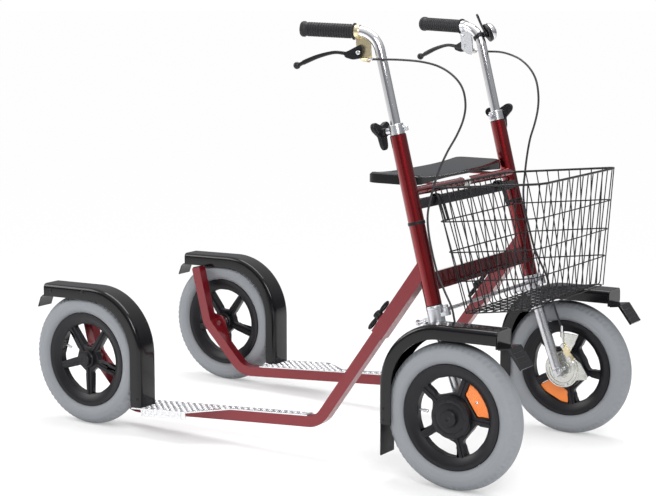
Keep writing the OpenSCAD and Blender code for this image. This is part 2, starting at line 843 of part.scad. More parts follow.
module brake_arm(s) {
    y0 = backplate_y - bracket_t - gap - brake_arm_t;
    color(zinc) on_side(s) difference() {
        plate(y0, y0 + brake_arm_t) {
            hull() {
                translate(arm_pivot) circle(8);
                translate(arm_tip) circle(5.5);
            }
        }
        plate(y0 - deep, y0 + brake_arm_t + deep)
            translate(arm_pivot) circle(arm_pin_d / 2 + run);
    }
}

// The cable's route on the left side, from the foot of the head tube: X, Y outboard, Z
cable_route = [[-157, 15, 514], [-128, 16, 514], [-90, 4, 514], [-50, -22, 510], [-15, -38, 500],
    [14, -48, 481], [33, -54, 455], [40, -55, 421], [37, -51, 389], [26, -43, 356],
    [10, -32, 321], [-3, -20, 281], [-13, -10, 236], [-19, -4, 193], [-16, -2, 156],
    [-5, 0, 111], [9, 0, 66], [26, 0, 31], [43, 0, -1], [51, 1, -29], [60, 4, -64], [71, 7, -97],
    [79, 10.5, -119], [80, 10.5, -130]];
cable_steps = 2;
cable_sides = 8;

function spline(a, b, c, d, t) = 0.5 * (2 * b + (c - a) * t
    + (2 * a - 5 * b + 4 * c - d) * t * t + (3 * b - a - 3 * c + d) * t * t * t);

function route_point(pts, i, t) = let (n = len(pts) - 1)
    spline(pts[max(i - 1, 0)], pts[i], pts[min(i + 1, n)], pts[min(i + 2, n)], t);

function route_curve(pts) = [
    for (i = [0 : len(pts) - 2], k = [0 : cable_steps - 1]) route_point(pts, i, k / cable_steps),
    pts[len(pts) - 1]];

function along(pts, i) = let (v = pts[min(i + 1, len(pts) - 1)] - pts[max(i - 1, 0)]) v / norm(v);

module tube_along(pts, d, sides) {
    rings = [for (i = [0 : len(pts) - 1])
        let (t = along(pts, i), u = cross(t, [0, 1, 0]) / norm(cross(t, [0, 1, 0])), v = cross(t, u))
        [for (k = [0 : sides - 1])
            pts[i] + d / 2 * (cos(k * 360 / sides) * u + sin(k * 360 / sides) * v)]];
    last = len(pts) - 1;
    walls = [for (i = [0 : last - 1], k = [0 : sides - 1])
        let (a = i * sides + k, b = i * sides + (k + 1) % sides) [a, b, b + sides, a + sides]];
    ends = [[for (k = [sides - 1 : -1 : 0]) k], [for (k = [0 : sides - 1]) last * sides + k]];
    polyhedron(points = [for (r = rings) each r], faces = concat(walls, ends));
}

module brake_cable(s) {
    color(black) on_side(s) translate([head_x, column_y, head_z])
        tube_along(route_curve(cable_route), cable_d, cable_sides);
}

module tie_rod() {
    color(silver) difference() {
        union() {
            for (s = [-1, 1]) on_side(s) on_column()
                translate([steer_arm, 0, arm_top + gap]) cylinder(d = eye_d, h = eye_h);
            half = column_y - tie_pin_d / 2 - 1;
            on_column_middle() translate([0, -half, 0]) rotate([-90, 0, 0])
                cylinder(d = tie_rod_d, h = 2 * half);
        }
        for (s = [-1, 1]) on_side(s) on_column()
            translate([steer_arm, 0, arm_top - deep])
                cylinder(d = tie_pin_d + (s > 0 ? 1 : 2 * run), h = eye_h + 2 * deep + gap);
    }
}

module on_column_middle() {
    translate([head_x, 0, head_z]) rotate([0, -lean, 0])
        translate([steer_arm, 0, arm_top + gap + eye_h / 2]) children();
}

// ---------------------------------------------------------------- handles

bend_start = head_len + handle_up;
grip_dir = [-cos(grip_splay) * cos(grip_rise), sin(grip_splay) * cos(grip_rise), sin(grip_rise)];
bend = acos(grip_dir * [-sin(lean), 0, cos(lean)]);
bend_turn = atan2(grip_dir[1], grip_dir * [cos(lean), 0, sin(lean)]);
stub_len = 8;

// Local Z runs along the grip towards its end, local X is down and local Y is inboard
module on_grip() {
    on_column() translate([0, 0, bend_start]) rotate([0, 0, bend_turn])
        translate([handle_bend * (1 - cos(bend)), 0, handle_bend * sin(bend)])
            rotate([0, bend, 0]) children();
}

// The bend is a hair thinner than the straight parts, and laps into them by a small angle
bend_thinner = 0.04;
bend_lap = 1;

// A round solid of one diameter along the handle's centre line, lengthened at both ends
module handle_shape(d, extra) {
    on_column() translate([0, 0, head_len - handle_in - extra])
        cylinder(d = d, h = handle_in + handle_up + extra);
    on_column() translate([0, 0, bend_start]) rotate([0, 0, bend_turn])
        translate([handle_bend, 0, 0]) mirror([1, 0, 0]) rotate([90, 0, 0])
            rotate([0, 0, -bend_lap]) rotate_extrude(angle = bend + 2 * bend_lap)
                translate([handle_bend, 0]) circle(d = d - bend_thinner);
    on_grip() cylinder(d = d, h = stub_len + grip_len - 8 + extra);
}

module handle_tube(s) {
    color(chrome) on_side(s) difference() {
        handle_shape(handle_d, 0);
        handle_shape(handle_d - 2 * handle_wall, deep);
    }
}

module cut_handle() {
    handle_shape(handle_d, 0);
}

module grip(s) {
    ribs = 18;
    rib_pitch = (grip_len - 22) / ribs;
    color(satin_black) on_side(s) on_grip() translate([0, 0, stub_len]) difference() {
        union() {
            cylinder(d = grip_d - 2, h = grip_len);
            cylinder(d = grip_d + 5, h = 4);
            translate([0, 0, grip_len - 8]) cylinder(d = grip_d + 3, h = 5);
            for (i = [0 : ribs - 1])
                translate([0, 0, 8 + i * rib_pitch]) cylinder(d = grip_d, h = rib_pitch / 2);
        }
        translate([0, 0, -deep]) cylinder(d = handle_d, h = grip_len - 8 + deep);
    }
}

lever_t = 9;
lever_pin_d = 6;
cheek_t = 3;
pin_head_t = 2.5;
lever_pivot = [lever_drop, -3];
lever_root = [[27, -6], [33, 6], [41, 20], [46, 32], [56, 28], [60, 10], [56, -8], [44, -12], [32, -12]];
lever_pts = [lever_pivot, [lever_drop + 7, 18], [lever_drop, 46], [lever_drop + 14, 92],
    [lever_drop + 35, 139]];

module brake_lever(s) {
    color(satin_black) on_side(s) on_grip() difference() {
        union() {
            plate(-lever_t / 2, lever_t / 2) {
                strip(lever_pts, [0, 25, 50, 80, 0], 10);
                polygon(lever_root);
            }
            translate([lever_pts[4][0], 0, lever_pts[4][1]]) sphere(d = 16, $fn = 32);
        }
        plate(-lever_t, lever_t) translate(lever_pivot) circle(lever_pin_d / 2 + run);
    }
}

barrel_in = [head_x - 172, column_y + 13, head_z + 513];
barrel_out = [head_x - 157 - 2 * gap, column_y + 15, head_z + 514];

module lever_bracket(s) {
    color(zinc) on_side(s) difference() {
        union() {
            on_grip() {
                translate([0, 0, -2]) cylinder(d = 29, h = stub_len + 2 - gap);
                plate(lever_t / 2 + gap, lever_t / 2 + gap + cheek_t)
                    polygon([[4, stub_len - gap], [22, stub_len - gap], [32, 6], [52, 4], [62, -12],
                        [64, -26], [56, -30], [30, -27], [10, -24], [4, -10]]);
                translate([lever_pivot[0], -lever_t / 2 - gap, lever_pivot[1]]) rotate([-90, 0, 0])
                    cylinder(d = lever_pin_d, h = lever_t + 2 * gap + cheek_t);
                translate([lever_pivot[0], -lever_t / 2 - gap - pin_head_t, lever_pivot[1]])
                    rotate([-90, 0, 0]) cylinder(d = lever_pin_d + 4, h = pin_head_t);
                translate([50, -lever_t / 2 + 1, -27]) cube([9, lever_t + gap, 7]);
            }
            bar(barrel_in, barrel_out, 8);
        }
        cut_handle();
    }
}

module clamp_knob(s) {
    lobe = 30;
    knob_t = 10;
    color(satin_black) on_side(s) on_column() translate([0, 0, knob_at])
        rotate([0, 0, knob_turn(s)]) rotate([0, 90, 0]) {
            translate([0, 0, handle_d / 2 + 0.5])
                cylinder(d = clamp_screw_d, h = clamp_boss_r + 12 - handle_d / 2);
            translate([0, 0, clamp_boss_r + 2]) cylinder(d = 18, h = 9);
            translate([0, 0, clamp_boss_r + 10]) linear_extrude(knob_t) {
                circle(14);
                for (a = [0 : 120 : 240]) rotate(a) {
                    translate([0, -7]) square([lobe, 14]);
                    translate([lobe, 0]) circle(8);
                }
            }
        }
}

module sleeve_knob(s) {
    knob_foot = sleeve_out / 2 + 5;
    color(satin_black) on_side(s) on_sleeve() translate([knob_along, 0, 0]) {
        translate([0, 0, rail_w / 2 + 0.5]) cylinder(d = sleeve_screw_d,
            h = knob_foot - rail_w / 2 + 2);
        translate([0, 0, knob_foot]) cylinder(d = 20, h = 14);
        translate([0, 0, knob_foot + 2]) linear_extrude(9) for (side = [-1, 1]) difference() {
            union() {
                for (x = [14, 31]) translate([side * x, 0]) circle(11);
                translate([side > 0 ? 0 : -31, -11]) square([31, 22]);
            }
            for (x = [17, 31]) translate([side * x, 0]) circle(6);
            translate([side > 0 ? 17 : -31, -6]) square([14, 12]);
        }
    }
}

// ---------------------------------------------------------------- bell

bell_at = 20;        // degrees round the bend
bell_turn = 50;      // degrees round the tube, outboard from the outside of the bend
neck_d = 14;
bell_lever_t = 4;
bell_base_x = handle_d / 2 + 9;
bell_base_t = 8;

// Local Z points away from the tube, local X runs up along it
module on_bell() {
    on_column() translate([0, 0, bend_start]) rotate([0, 0, bend_turn])
        translate([handle_bend, 0, 0]) rotate([0, bell_at, 0]) translate([-handle_bend, 0, 0])
            rotate([0, 0, bell_turn]) rotate([0, -90, 0]) children();
}

module bell() {
    color(chrome) on_bell() translate([0, 0, bell_base_x + bell_base_t + gap])
        rotate_extrude() intersection() {
            dome_outline();
            square([22, 16]);
        }
    color(satin_black) difference() {
        on_bell() {
            translate([-5, 0, 0]) rotate([0, 90, 0]) cylinder(d = handle_d + 5, h = 10);
            cylinder(d = neck_d, h = bell_base_x + 1);
            translate([0, 0, bell_base_x]) cylinder(d = 44, h = bell_base_t);
        }
        cut_handle();
    }
}

module dome_outline() {
    translate([0, -9]) circle(23);
}

module bell_lever() {
    color(satin_black) on_bell() translate([0, 0, bell_base_x - gap - bell_lever_t])
        difference() {
            union() {
                cylinder(d = neck_d + 8, h = bell_lever_t);
                linear_extrude(bell_lever_t) {
                    strip([[0, 0], [30, 4], [44, 10]], [0, 20, 0], 9);
                    translate([44, 10]) circle(5.5);
                }
            }
            translate([0, 0, -deep]) cylinder(d = neck_d + 2 * run, h = bell_lever_t + 2 * deep);
        }
}

// ---------------------------------------------------------------- nodes

head_tube(-1);  // head_tube_r
head_tube(1);  // head_tube_l
cross_members();
sleeve(-1);  // sleeve_r
sleeve(1);  // sleeve_l
head_bushes();
seat();
basket_carrier();
basket_front();
basket_back();
basket_left();
basket_right();
basket_floor();
rail(-1);  // rail_r
rail(1);  // rail_l
footboard(-1);  // footboard_r
footboard(1);  // footboard_l
rear_fender(-1);  // rear_fender_r
rear_fender(1);  // rear_fender_l
rear_axle(-1);  // rear_axle_r
rear_axle(1);  // rear_axle_l
rear_rim(-1);  // rear_rim_r
rear_rim(1);  // rear_rim_l
color(tyre_grey) on_side(-1) tyre(rear_x);  // rear_tyre_r
color(tyre_grey) on_side(1) tyre(rear_x);  // rear_tyre_l
rear_bearings(-1);  // rear_bearings_r
rear_bearings(1);  // rear_bearings_l
fork(-1);  // fork_r
fork(1);  // fork_l
front_fender(-1);  // front_fender_r
front_fender(1);  // front_fender_l
brake_plate(-1);  // brake_plate_r
brake_plate(1);  // brake_plate_l
brake_cable(-1);  // brake_cable_r
brake_cable(1);  // brake_cable_l
front_rim(-1);  // front_rim_r
front_rim(1);  // front_rim_l
color(tyre_grey) on_side(-1) tyre(front_x);  // front_tyre_r
color(tyre_grey) on_side(1) tyre(front_x);  // front_tyre_l
reflector(-1);  // reflector_r
reflector(1);  // reflector_l
front_bearings(-1);  // front_bearings_r
front_bearings(1);  // front_bearings_l
handle_tube(-1);  // handle_tube_r
handle_tube(1);  // handle_tube_l
grip(-1);  // grip_r
grip(1);  // grip_l
lever_bracket(-1);  // lever_bracket_r
lever_bracket(1);  // lever_bracket_l
brake_lever(-1);  // brake_lever_r
brake_lever(1);  // brake_lever_l
brake_arm(-1);  // brake_arm_r
brake_arm(1);  // brake_arm_l
clamp_knob(-1);  // clamp_knob_r
clamp_knob(1);  // clamp_knob_l
sleeve_knob(-1);  // sleeve_knob_r
sleeve_knob(1);  // sleeve_knob_l
tie_rod();
bell();
bell_lever();
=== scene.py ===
"""Looks of the four-wheeled kick scooter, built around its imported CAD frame. Metres; +X forward, +Y left, +Z up."""

import json
import math

import bmesh
import bpy
from mathutils import Matrix, Vector


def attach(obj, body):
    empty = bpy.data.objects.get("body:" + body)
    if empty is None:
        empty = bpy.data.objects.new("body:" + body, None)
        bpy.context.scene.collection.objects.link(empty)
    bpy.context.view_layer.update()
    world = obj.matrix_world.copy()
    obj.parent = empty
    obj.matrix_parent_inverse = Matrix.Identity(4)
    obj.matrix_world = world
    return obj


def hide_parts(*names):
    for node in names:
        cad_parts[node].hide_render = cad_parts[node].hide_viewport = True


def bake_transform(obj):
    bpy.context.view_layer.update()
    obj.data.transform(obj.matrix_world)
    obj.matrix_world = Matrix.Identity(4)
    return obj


# ------------------------------------------------------------------ camera

camera_data = bpy.data.cameras.new("camera")
camera_data.lens = 92.85
camera_data.sensor_width = 36.0
camera_data.clip_end = 60.0
camera = bpy.data.objects.new("camera", camera_data)
bpy.context.scene.collection.objects.link(camera)
camera.location = (2.15985, -3.2912, 1.0570)
camera.rotation_euler = Vector((-0.54214, 0.82565, -0.15616)).to_track_quat("-Z", "Y").to_euler()
bpy.context.scene.camera = camera

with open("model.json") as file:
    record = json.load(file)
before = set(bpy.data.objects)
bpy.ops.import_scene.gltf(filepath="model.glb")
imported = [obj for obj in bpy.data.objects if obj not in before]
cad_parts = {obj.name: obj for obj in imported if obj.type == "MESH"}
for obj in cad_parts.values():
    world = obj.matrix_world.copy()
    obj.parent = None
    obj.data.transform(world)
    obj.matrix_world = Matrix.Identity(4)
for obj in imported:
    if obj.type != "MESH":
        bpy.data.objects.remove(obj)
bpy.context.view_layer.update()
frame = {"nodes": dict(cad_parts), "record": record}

# ------------------------------------------------------------------ sizes, in metres

MM = 0.001
LEFT, RIGHT = 1, -1
SIDES = ((LEFT, "l", "left"), (RIGHT, "r", "right"))
tyre_d, tyre_w = 0.317, 0.052
axle_z = tyre_d / 2
front_x = (1.0 + tyre_d / 2 - 0.168) / 2
rear_x = front_x - 1.0
column_y = 0.226
wheel_y = column_y + 0.0125 + 0.0105 + tyre_w / 2
head_x, head_z, head_len = front_x - 0.08, axle_z + 0.2205, 0.366
lean = math.radians(14.4)
rail_w, rail_z, rail_slope = 0.025, 0.074, math.radians(4.2)
rail_rise = math.radians(54.5)
rim_d, rim_w = 0.227, 0.036
fender_in, fender_out = wheel_y - tyre_w / 2 - 0.0045, wheel_y + tyre_w / 2 + 0.0045
corner_x = front_x - 0.368
corner_z = rail_z + corner_x * math.tan(rail_slope)
to_axis = (head_x - corner_x - (corner_z - head_z) * math.tan(lean)) / (
    math.cos(rail_rise) + math.sin(rail_rise) * math.tan(lean))
sleeve_from = to_axis - 0.195
handle_d, bend_r, bend_start = 0.0222, 0.052, head_len + 0.183
splay, lift = math.radians(11), math.radians(2)
grip_dir = Vector((-math.cos(splay) * math.cos(lift), math.sin(splay) * math.cos(lift), math.sin(lift)))
bend = math.acos(grip_dir.dot(Vector((-math.sin(lean), 0, math.cos(lean)))))
bend_turn = math.atan2(grip_dir.y, grip_dir.dot(Vector((math.cos(lean), 0, math.sin(lean)))))


def turn(degrees, axis):
    return Matrix.Rotation(math.radians(degrees), 4, axis)


def shift(x, y, z):
    return Matrix.Translation((x, y, z))


COLUMN = shift(head_x, column_y, head_z) @ turn(-14.4, "Y")
GRIP = (COLUMN @ shift(0, 0, bend_start) @ Matrix.Rotation(bend_turn, 4, "Z")
        @ shift(bend_r * (1 - math.cos(bend)), 0, bend_r * math.sin(bend)) @ Matrix.Rotation(bend, 4, "Y"))
BELL = (COLUMN @ shift(0, 0, bend_start) @ Matrix.Rotation(bend_turn, 4, "Z") @ shift(bend_r, 0, 0)
        @ turn(20, "Y") @ shift(-bend_r, 0, 0) @ turn(50, "Z") @ turn(-90, "Y"))
SLEEVE = shift(corner_x + sleeve_from * math.cos(rail_rise), column_y,
               corner_z + sleeve_from * math.sin(rail_rise)) @ turn(-54.5, "Y")
RAIL = shift(0, 0, rail_z) @ turn(-4.2, "Y") @ shift(0, 0, rail_w / 2)


def axle(x):
    return shift(x, wheel_y, axle_z) @ turn(-90, "X")


# ------------------------------------------------------------------ shapes: (points, faces)


def moved(shape, matrix):
    points, faces = shape
    return [matrix @ Vector(p) for p in points], faces


def joined(*shapes):
    points, faces = [], []
    for more, sides in shapes:
        start = len(points)
        points.extend(more)
        faces.extend(tuple(start + i for i in face) for face in sides)
    return points, faces


def mirrored(shape):
    points, faces = shape
    return [Vector((p[0], -p[1], p[2])) for p in points], [tuple(reversed(f)) for f in faces]


def sided(shape, side):
    """A shape drawn for the left, as it stands on one side."""
    return shape if side == LEFT else mirrored(shape)


def skin(rings, closed_ring=True, cap=True, loop=False):
    """Faces between rings of equally many points."""
    count = len(rings[0])
    points = [Vector(p) for r in rings for p in r]
    faces = []
    for i in range(len(rings) if loop else len(rings) - 1):
        a, b = i * count, ((i + 1) % len(rings)) * count
        for k in range(count if closed_ring else count - 1):
            n = (k + 1) % count
            faces.append((a + k, a + n, b + n, b + k))
    if cap and not loop:
        faces.append(tuple(reversed(range(count))))
        faces.append(tuple(range(len(points) - count, len(points))))
    return points, faces


def turned(profile, steps=48, loop=True):
    """A profile of (radius, height) turned round local Z. A closed profile leaves a ring."""
    rings = []
    for i in range(steps):
        a = 2 * math.pi * i / steps
        rings.append([(r * math.cos(a), r * math.sin(a), z) for r, z in profile])
    return skin(rings, closed_ring=loop, loop=True)


def lathe(profile, steps=40):
    """A solid of (radius, height) pairs, closed at both ends on the axis."""
    rings = [[(r * math.cos(2 * math.pi * k / steps), r * math.sin(2 * math.pi * k / steps), z)
              for k in range(steps)] for r, z in profile]
    return skin(rings)


def softened(profile, radius, steps=3):
    """Rounds every inner corner of an open profile."""
    result = [profile[0]]
    for a, b, c in zip(profile, profile[1:], profile[2:]):
        a, b, c = Vector(a), Vector(b), Vector(c)
        d = min(radius, (a - b).length * 0.45, (c - b).length * 0.45)
        p, q = b + (a - b).normalized() * d, b + (c - b).normalized() * d
        for k in range(steps + 1):
            t = k / steps
            result.append(tuple((1 - t) ** 2 * p + 2 * t * (1 - t) * b + t * t * q))
    result.append(profile[-1])
    return result


def collar(r_in, r_out, low, high, edge, rounds, steps):
    """A plain ring round local Z with rounded edges."""
    return turned(softened([(r_in, low), (r_out, low), (r_out, high), (r_in, high)], edge, rounds), steps)


def curve_through(points, steps=6):
    """A smooth curve through points."""
    pts = [Vector(p) for p in points]
    out = []
    for i in range(len(pts) - 1):
        a, b, c, d = pts[max(i - 1, 0)], pts[i], pts[i + 1], pts[min(i + 2, len(pts) - 1)]
        for k in range(steps):
            t = k / steps
            out.append(0.5 * (2 * b + (c - a) * t + (2 * a - 5 * b + 4 * c - d) * t * t
                              + (3 * b - a - 3 * c + d) * t ** 3))
    out.append(pts[-1])
    return out


def rounded_path(points, radius, steps=6, loop=False):
    """Straight runs with rounded corners."""
    pts = [Vector(p) for p in points]
    n = len(pts)
    out = []
    for i, b in enumerate(pts):
        if not loop and i in (0, n - 1):
            out.append(b)
            continue
        a, c = pts[i - 1], pts[(i + 1) % n]
        d = min(radius, (a - b).length * 0.48, (c - b).length * 0.48)
        p, q = b + (a - b).normalized() * d, b + (c - b).normalized() * d
        for k in range(steps + 1):
            t = k / steps
            out.append((1 - t) ** 2 * p + 2 * t * (1 - t) * b + t * t * q)
    return out


def frames_along(points, loop=False):
    """A side and an up direction at each point, turning as little as they can."""
    n = len(points)
    result = []
    side = None
    for i, p in enumerate(points):
        before = points[i - 1] if loop or i else p
        after = points[(i + 1) % n] if loop or i < n - 1 else p
        along = (after - before).normalized()
        if side is None:
            side = along.orthogonal().normalized()
        side = (side - along * side.dot(along)).normalized()
        result.append((p, side, along.cross(side)))
    return result


def tube(points, radius, sides=10, loop=False, flat=1.0):
    """A round wire or hose; radius may be one value or one for each point."""
    points = [Vector(p) for p in points]
    rings = []
    for i, (p, side, up) in enumerate(frames_along(points, loop)):
        r = radius[i] if isinstance(radius, (list, tuple)) else radius
        rings.append([p + r * (math.cos(2 * math.pi * k / sides) * side
                               + flat * math.sin(2 * math.pi * k / sides) * up) for k in range(sides)])
    return skin(rings, loop=loop)


def outline_solid(outlines, thick, edge=0.0, rounds=2):
    """Flat outlines in XY, the first one outside and the rest as holes, made thick in Z with rounded edges."""
    data = bpy.data.curves.new("outline", "CURVE")
    data.dimensions = "2D"
    data.fill_mode = "BOTH"
    data.extrude = thick / 2 - edge
    data.bevel_depth = edge
    data.bevel_resolution = rounds
    data.offset = -edge
    for outline in outlines:
        spline = data.splines.new("POLY")
        spline.points.add(len(outline) - 1)
        for point, place in zip(spline.points, outline):
            point.co = (place[0], place[1], 0, 1)
        spline.use_cyclic_u = True
    holder = bpy.data.objects.new("outline", data)
    bpy.context.scene.collection.objects.link(holder)
    bpy.context.view_layer.update()
    mesh = holder.to_mesh()
    shape = [v.co.copy() for v in mesh.vertices], [tuple(p.vertices) for p in mesh.polygons]
    holder.to_mesh_clear()
    bpy.data.objects.remove(holder)
    bpy.data.curves.remove(data)
    return shape


def block(size, centre=(0, 0, 0), edge=0.001):
    """A box with rounded edges."""
    work = bmesh.new()
    bmesh.ops.create_cube(work, size=1.0)
    for v in work.verts:
        v.co = Vector([v.co[i] * size[i] + centre[i] for i in range(3)])
    if edge:
        bmesh.ops.bevel(work, geom=work.edges[:], offset=edge, segments=2, profile=0.5, affect="EDGES")
    work.verts.index_update()
    shape = [v.co.copy() for v in work.verts], [tuple(v.index for v in f.verts) for f in work.faces]
    work.free()
    return shape


def circle(radius, steps=64, centre=(0, 0)):
    return [(centre[0] + radius * math.cos(2 * math.pi * k / steps),
             centre[1] + radius * math.sin(2 * math.pi * k / steps)) for k in range(steps)]


def hex_nut(across, height):
    """A chamfered hexagon nut on local Z, from 0 to height."""
    r = across / math.sqrt(3)
    rows = [(r * 0.92, 0), (r, height * 0.12), (r, height * 0.88), (r * 0.92, height)]
    rings = [[(q * math.cos(math.pi * k / 3), q * math.sin(math.pi * k / 3), z) for k in range(6)] for q, z in rows]
    return skin(rings)


def dome_bolt(radius, height):
    """A round bolt head on local Z."""
    steps = 5
    rows = [(radius, 0), (radius, height * 0.35)]
    rows += [(radius * math.cos(a) + 1e-5, height * (0.35 + 0.65 * math.sin(a)))
             for a in (math.pi / 2 * k / steps for k in range(1, steps + 1))]
    return lathe(rows, 20)


# ------------------------------------------------------------------ finishes


def new_group(name, inputs, outputs):
    group = bpy.data.node_groups.new(name, "ShaderNodeTree")
    for label, kind, value in inputs:
        socket = group.interface.new_socket(name=label, in_out="INPUT", socket_type=kind)
        socket.default_value = value
    for label, kind in outputs:
        group.interface.new_socket(name=label, in_out="OUTPUT", socket_type=kind)
    return group, group.nodes.new("NodeGroupInput"), group.nodes.new("NodeGroupOutput")


def fill(node, values):
    for name, value in values.items():
        node.inputs[name].default_value = value


def add_node(tree, kind, inputs=None, **settings):
    """A shader node with its settings, then the values of its inputs."""
    made = tree.nodes.new("ShaderNode" + kind)
    for name, value in settings.items():
        setattr(made, name, value)
    fill(made, inputs or {})
    return made


def link(tree, start, output, end, entry):
    tree.links.new(start.outputs[output], end.inputs[entry])


def surface_group():
    """Uneven tone, fine grain and softly rounded edges, shared by every finish."""
    group, given, result = new_group(
        "uneven surface",
        [("Colour", "NodeSocketColor", (0.5, 0.5, 0.5, 1)), ("Shade", "NodeSocketFloat", 0.1),
         ("Roughness", "NodeSocketFloat", 0.4), ("Smudge", "NodeSocketFloat", 0.1),
         ("Grain size", "NodeSocketFloat", 600.0), ("Grain", "NodeSocketFloat", 0.1),
         ("Edge", "NodeSocketFloat", 0.0008)],
        [("Colour", "NodeSocketColor"), ("Roughness", "NodeSocketFloat"), ("Normal", "NodeSocketVector")])
    place = add_node(group, "TexCoord")
    broad = add_node(group, "TexNoise", {"Scale": 9.0, "Detail": 5.0})
    fine = add_node(group, "TexNoise", {"Detail": 4.0})
    centred = add_node(group, "Math", {1: 0.5}, operation="SUBTRACT")
    tone = add_node(group, "Math", {2: 1.0}, operation="MULTIPLY_ADD")
    shade = add_node(group, "Mix", {"Factor": 1.0}, data_type="RGBA", blend_type="MULTIPLY")
    grey = add_node(group, "CombineColor")
    rough = add_node(group, "Math", operation="MULTIPLY_ADD")
    edge = add_node(group, "Bevel", samples=4)
    bump = add_node(group, "Bump", {"Distance": 0.0004})
    for noise in (broad, fine):
        link(group, place, "Object", noise, "Vector")
    link(group, given, "Grain size", fine, "Scale")
    link(group, broad, "Fac", centred, 0)
    link(group, centred, 0, tone, 0)
    link(group, given, "Shade", tone, 1)
    for name in ("Red", "Green", "Blue"):
        link(group, tone, 0, grey, name)
    link(group, given, "Colour", shade, "A")
    link(group, grey, 0, shade, "B")
    link(group, shade, "Result", result, "Colour")
    link(group, centred, 0, rough, 0)
    link(group, given, "Smudge", rough, 1)
    link(group, given, "Roughness", rough, 2)
    link(group, rough, 0, result, "Roughness")
    link(group, given, "Edge", edge, "Radius")
    link(group, given, "Grain", bump, "Strength")
    link(group, fine, "Fac", bump, "Height")
    link(group, edge, "Normal", bump, "Normal")
    link(group, bump, "Normal", result, "Normal")
    return group


def dust_group():
    """A little pale dust where a surface faces up."""
    group, given, result = new_group(
        "settled dust",
        [("Colour", "NodeSocketColor", (0.5, 0.5, 0.5, 1)), ("Amount", "NodeSocketFloat", 0.1)],
        [("Colour", "NodeSocketColor")])
    facing = add_node(group, "NewGeometry")
    split = add_node(group, "SeparateXYZ")
    patches = add_node(group, "TexNoise", {"Scale": 35.0, "Detail": 6.0})
    amount = add_node(group, "Math", operation="MULTIPLY", use_clamp=True)
    scaled = add_node(group, "Math", operation="MULTIPLY", use_clamp=True)
    mixed = add_node(group, "Mix", {"B": (0.5, 0.48, 0.45, 1)}, data_type="RGBA")
    link(group, facing, "Normal", split, 0)
    link(group, split, "Z", amount, 0)
    link(group, patches, "Fac", amount, 1)
    link(group, amount, 0, scaled, 0)
    link(group, given, "Amount", scaled, 1)
    link(group, scaled, 0, mixed, "Factor")
    link(group, given, "Colour", mixed, "A")
    link(group, mixed, "Result", result, "Colour")
    return group


SURFACE, DUST = surface_group(), dust_group()


def finish(name, colour, rough, metal=0.0, shade=0.15, smudge=0.1, grain_size=600.0, grain=0.1, edge=0.0008,
           coat=0.0, coat_rough=0.05, dust=0.0, specular=0.5, extra=None):
    material = bpy.data.materials.new(name)
    material.use_nodes = True
    tree = material.node_tree
    body = tree.nodes["Principled BSDF"]
    surface = add_node(tree, "Group", node_tree=SURFACE)
    fill(surface, {"Colour": (*colour, 1), "Shade": shade, "Roughness": rough, "Smudge": smudge,
                   "Grain size": grain_size, "Grain": grain, "Edge": edge})
    source = surface.outputs["Colour"]
    if extra:
        source = extra(tree, source)
    if dust:
        settled = add_node(tree, "Group", node_tree=DUST)
        fill(settled, {"Amount": dust})
        tree.links.new(source, settled.inputs["Colour"])
        source = settled.outputs["Colour"]
    tree.links.new(source, body.inputs["Base Color"])
    link(tree, surface, "Roughness", body, "Roughness")
    link(tree, surface, "Normal", body, "Normal")
    fill(body, {"Metallic": metal, "Specular IOR Level": specular, "Coat Weight": coat, "Coat Roughness": coat_rough})
    material.diffuse_color = (*colour, 1)
    return material


def flakes(tree, source):
    """Bright flakes inside the red lacquer."""
    cells = add_node(tree, "TexVoronoi", {"Scale": 2200.0})
    place = add_node(tree, "TexCoord")
    mixed = add_node(tree, "Mix", {"Factor": 0.35}, data_type="RGBA", blend_type="MULTIPLY")
    softer = add_node(tree, "Mix", {"Factor": 0.5}, data_type="RGBA")
    link(tree, place, "Object", cells, "Vector")
    tree.links.new(source, mixed.inputs["A"])
    link(tree, cells, "Color", mixed, "B")
    link(tree, mixed, "Result", softer, "A")
    tree.links.new(source, softer.inputs["B"])
    return softer.outputs["Result"]


def plating(tint):
    """Patches of a second tint, as on zinc plate."""
    def add(tree, source):
        patches = add_node(tree, "TexNoise", {"Scale": 22.0, "Detail": 3.0})
        ramp = add_node(tree, "ValToRGB")
        ramp.color_ramp.elements[0].position = 0.45
        ramp.color_ramp.elements[1].position = 0.7
        mixed = add_node(tree, "Mix", {"B": (*tint, 1)}, data_type="RGBA")
        link(tree, patches, "Fac", ramp, "Fac")
        link(tree, ramp, "Color", mixed, "Factor")
        tree.links.new(source, mixed.inputs["A"])
        return mixed.outputs["Result"]
    return add


red_lacquer = finish("red lacquer", (0.23, 0.0005, 0.004), 0.24, metal=0.95, shade=0.25, grain=0.02, coat=1.0,
                     coat_rough=0.03, extra=flakes)
rail_lacquer = finish("rail lacquer", (0.20, 0.005, 0.012), 0.32, metal=0.45, shade=0.2, grain=0.03, coat=0.6,
                      coat_rough=0.10, extra=flakes)
black_gloss = finish("black gloss moulding", (0.003, 0.003, 0.004), 0.14, grain=0.02, smudge=0.08, coat=0.1, dust=0.01,
                     specular=0.3)
black_coat = finish("black wire coating", (0.008, 0.008, 0.010), 0.35, grain=0.06, edge=0.0003, specular=0.35)
black_mould = finish("black satin moulding", (0.006, 0.006, 0.008), 0.38, grain=0.15, grain_size=1800.0, dust=0.02,
                     specular=0.3)
black_rubber = finish("black rubber", (0.012, 0.012, 0.014), 0.55, grain=0.2, grain_size=1200.0, edge=0.0004,
                      specular=0.35)
cable_skin = finish("cable sheath", (0.02, 0.02, 0.024), 0.38, grain=0.05, edge=0.0003)
tyre_rubber = finish("grey tyre rubber", (0.235, 0.248, 0.265), 0.62, shade=0.12, grain=0.35, grain_size=900.0,
                     edge=0.0004)
bright_chrome = finish("bright chrome", (0.80, 0.80, 0.82), 0.06, metal=1.0, shade=0.05, smudge=0.06, grain=0.01)
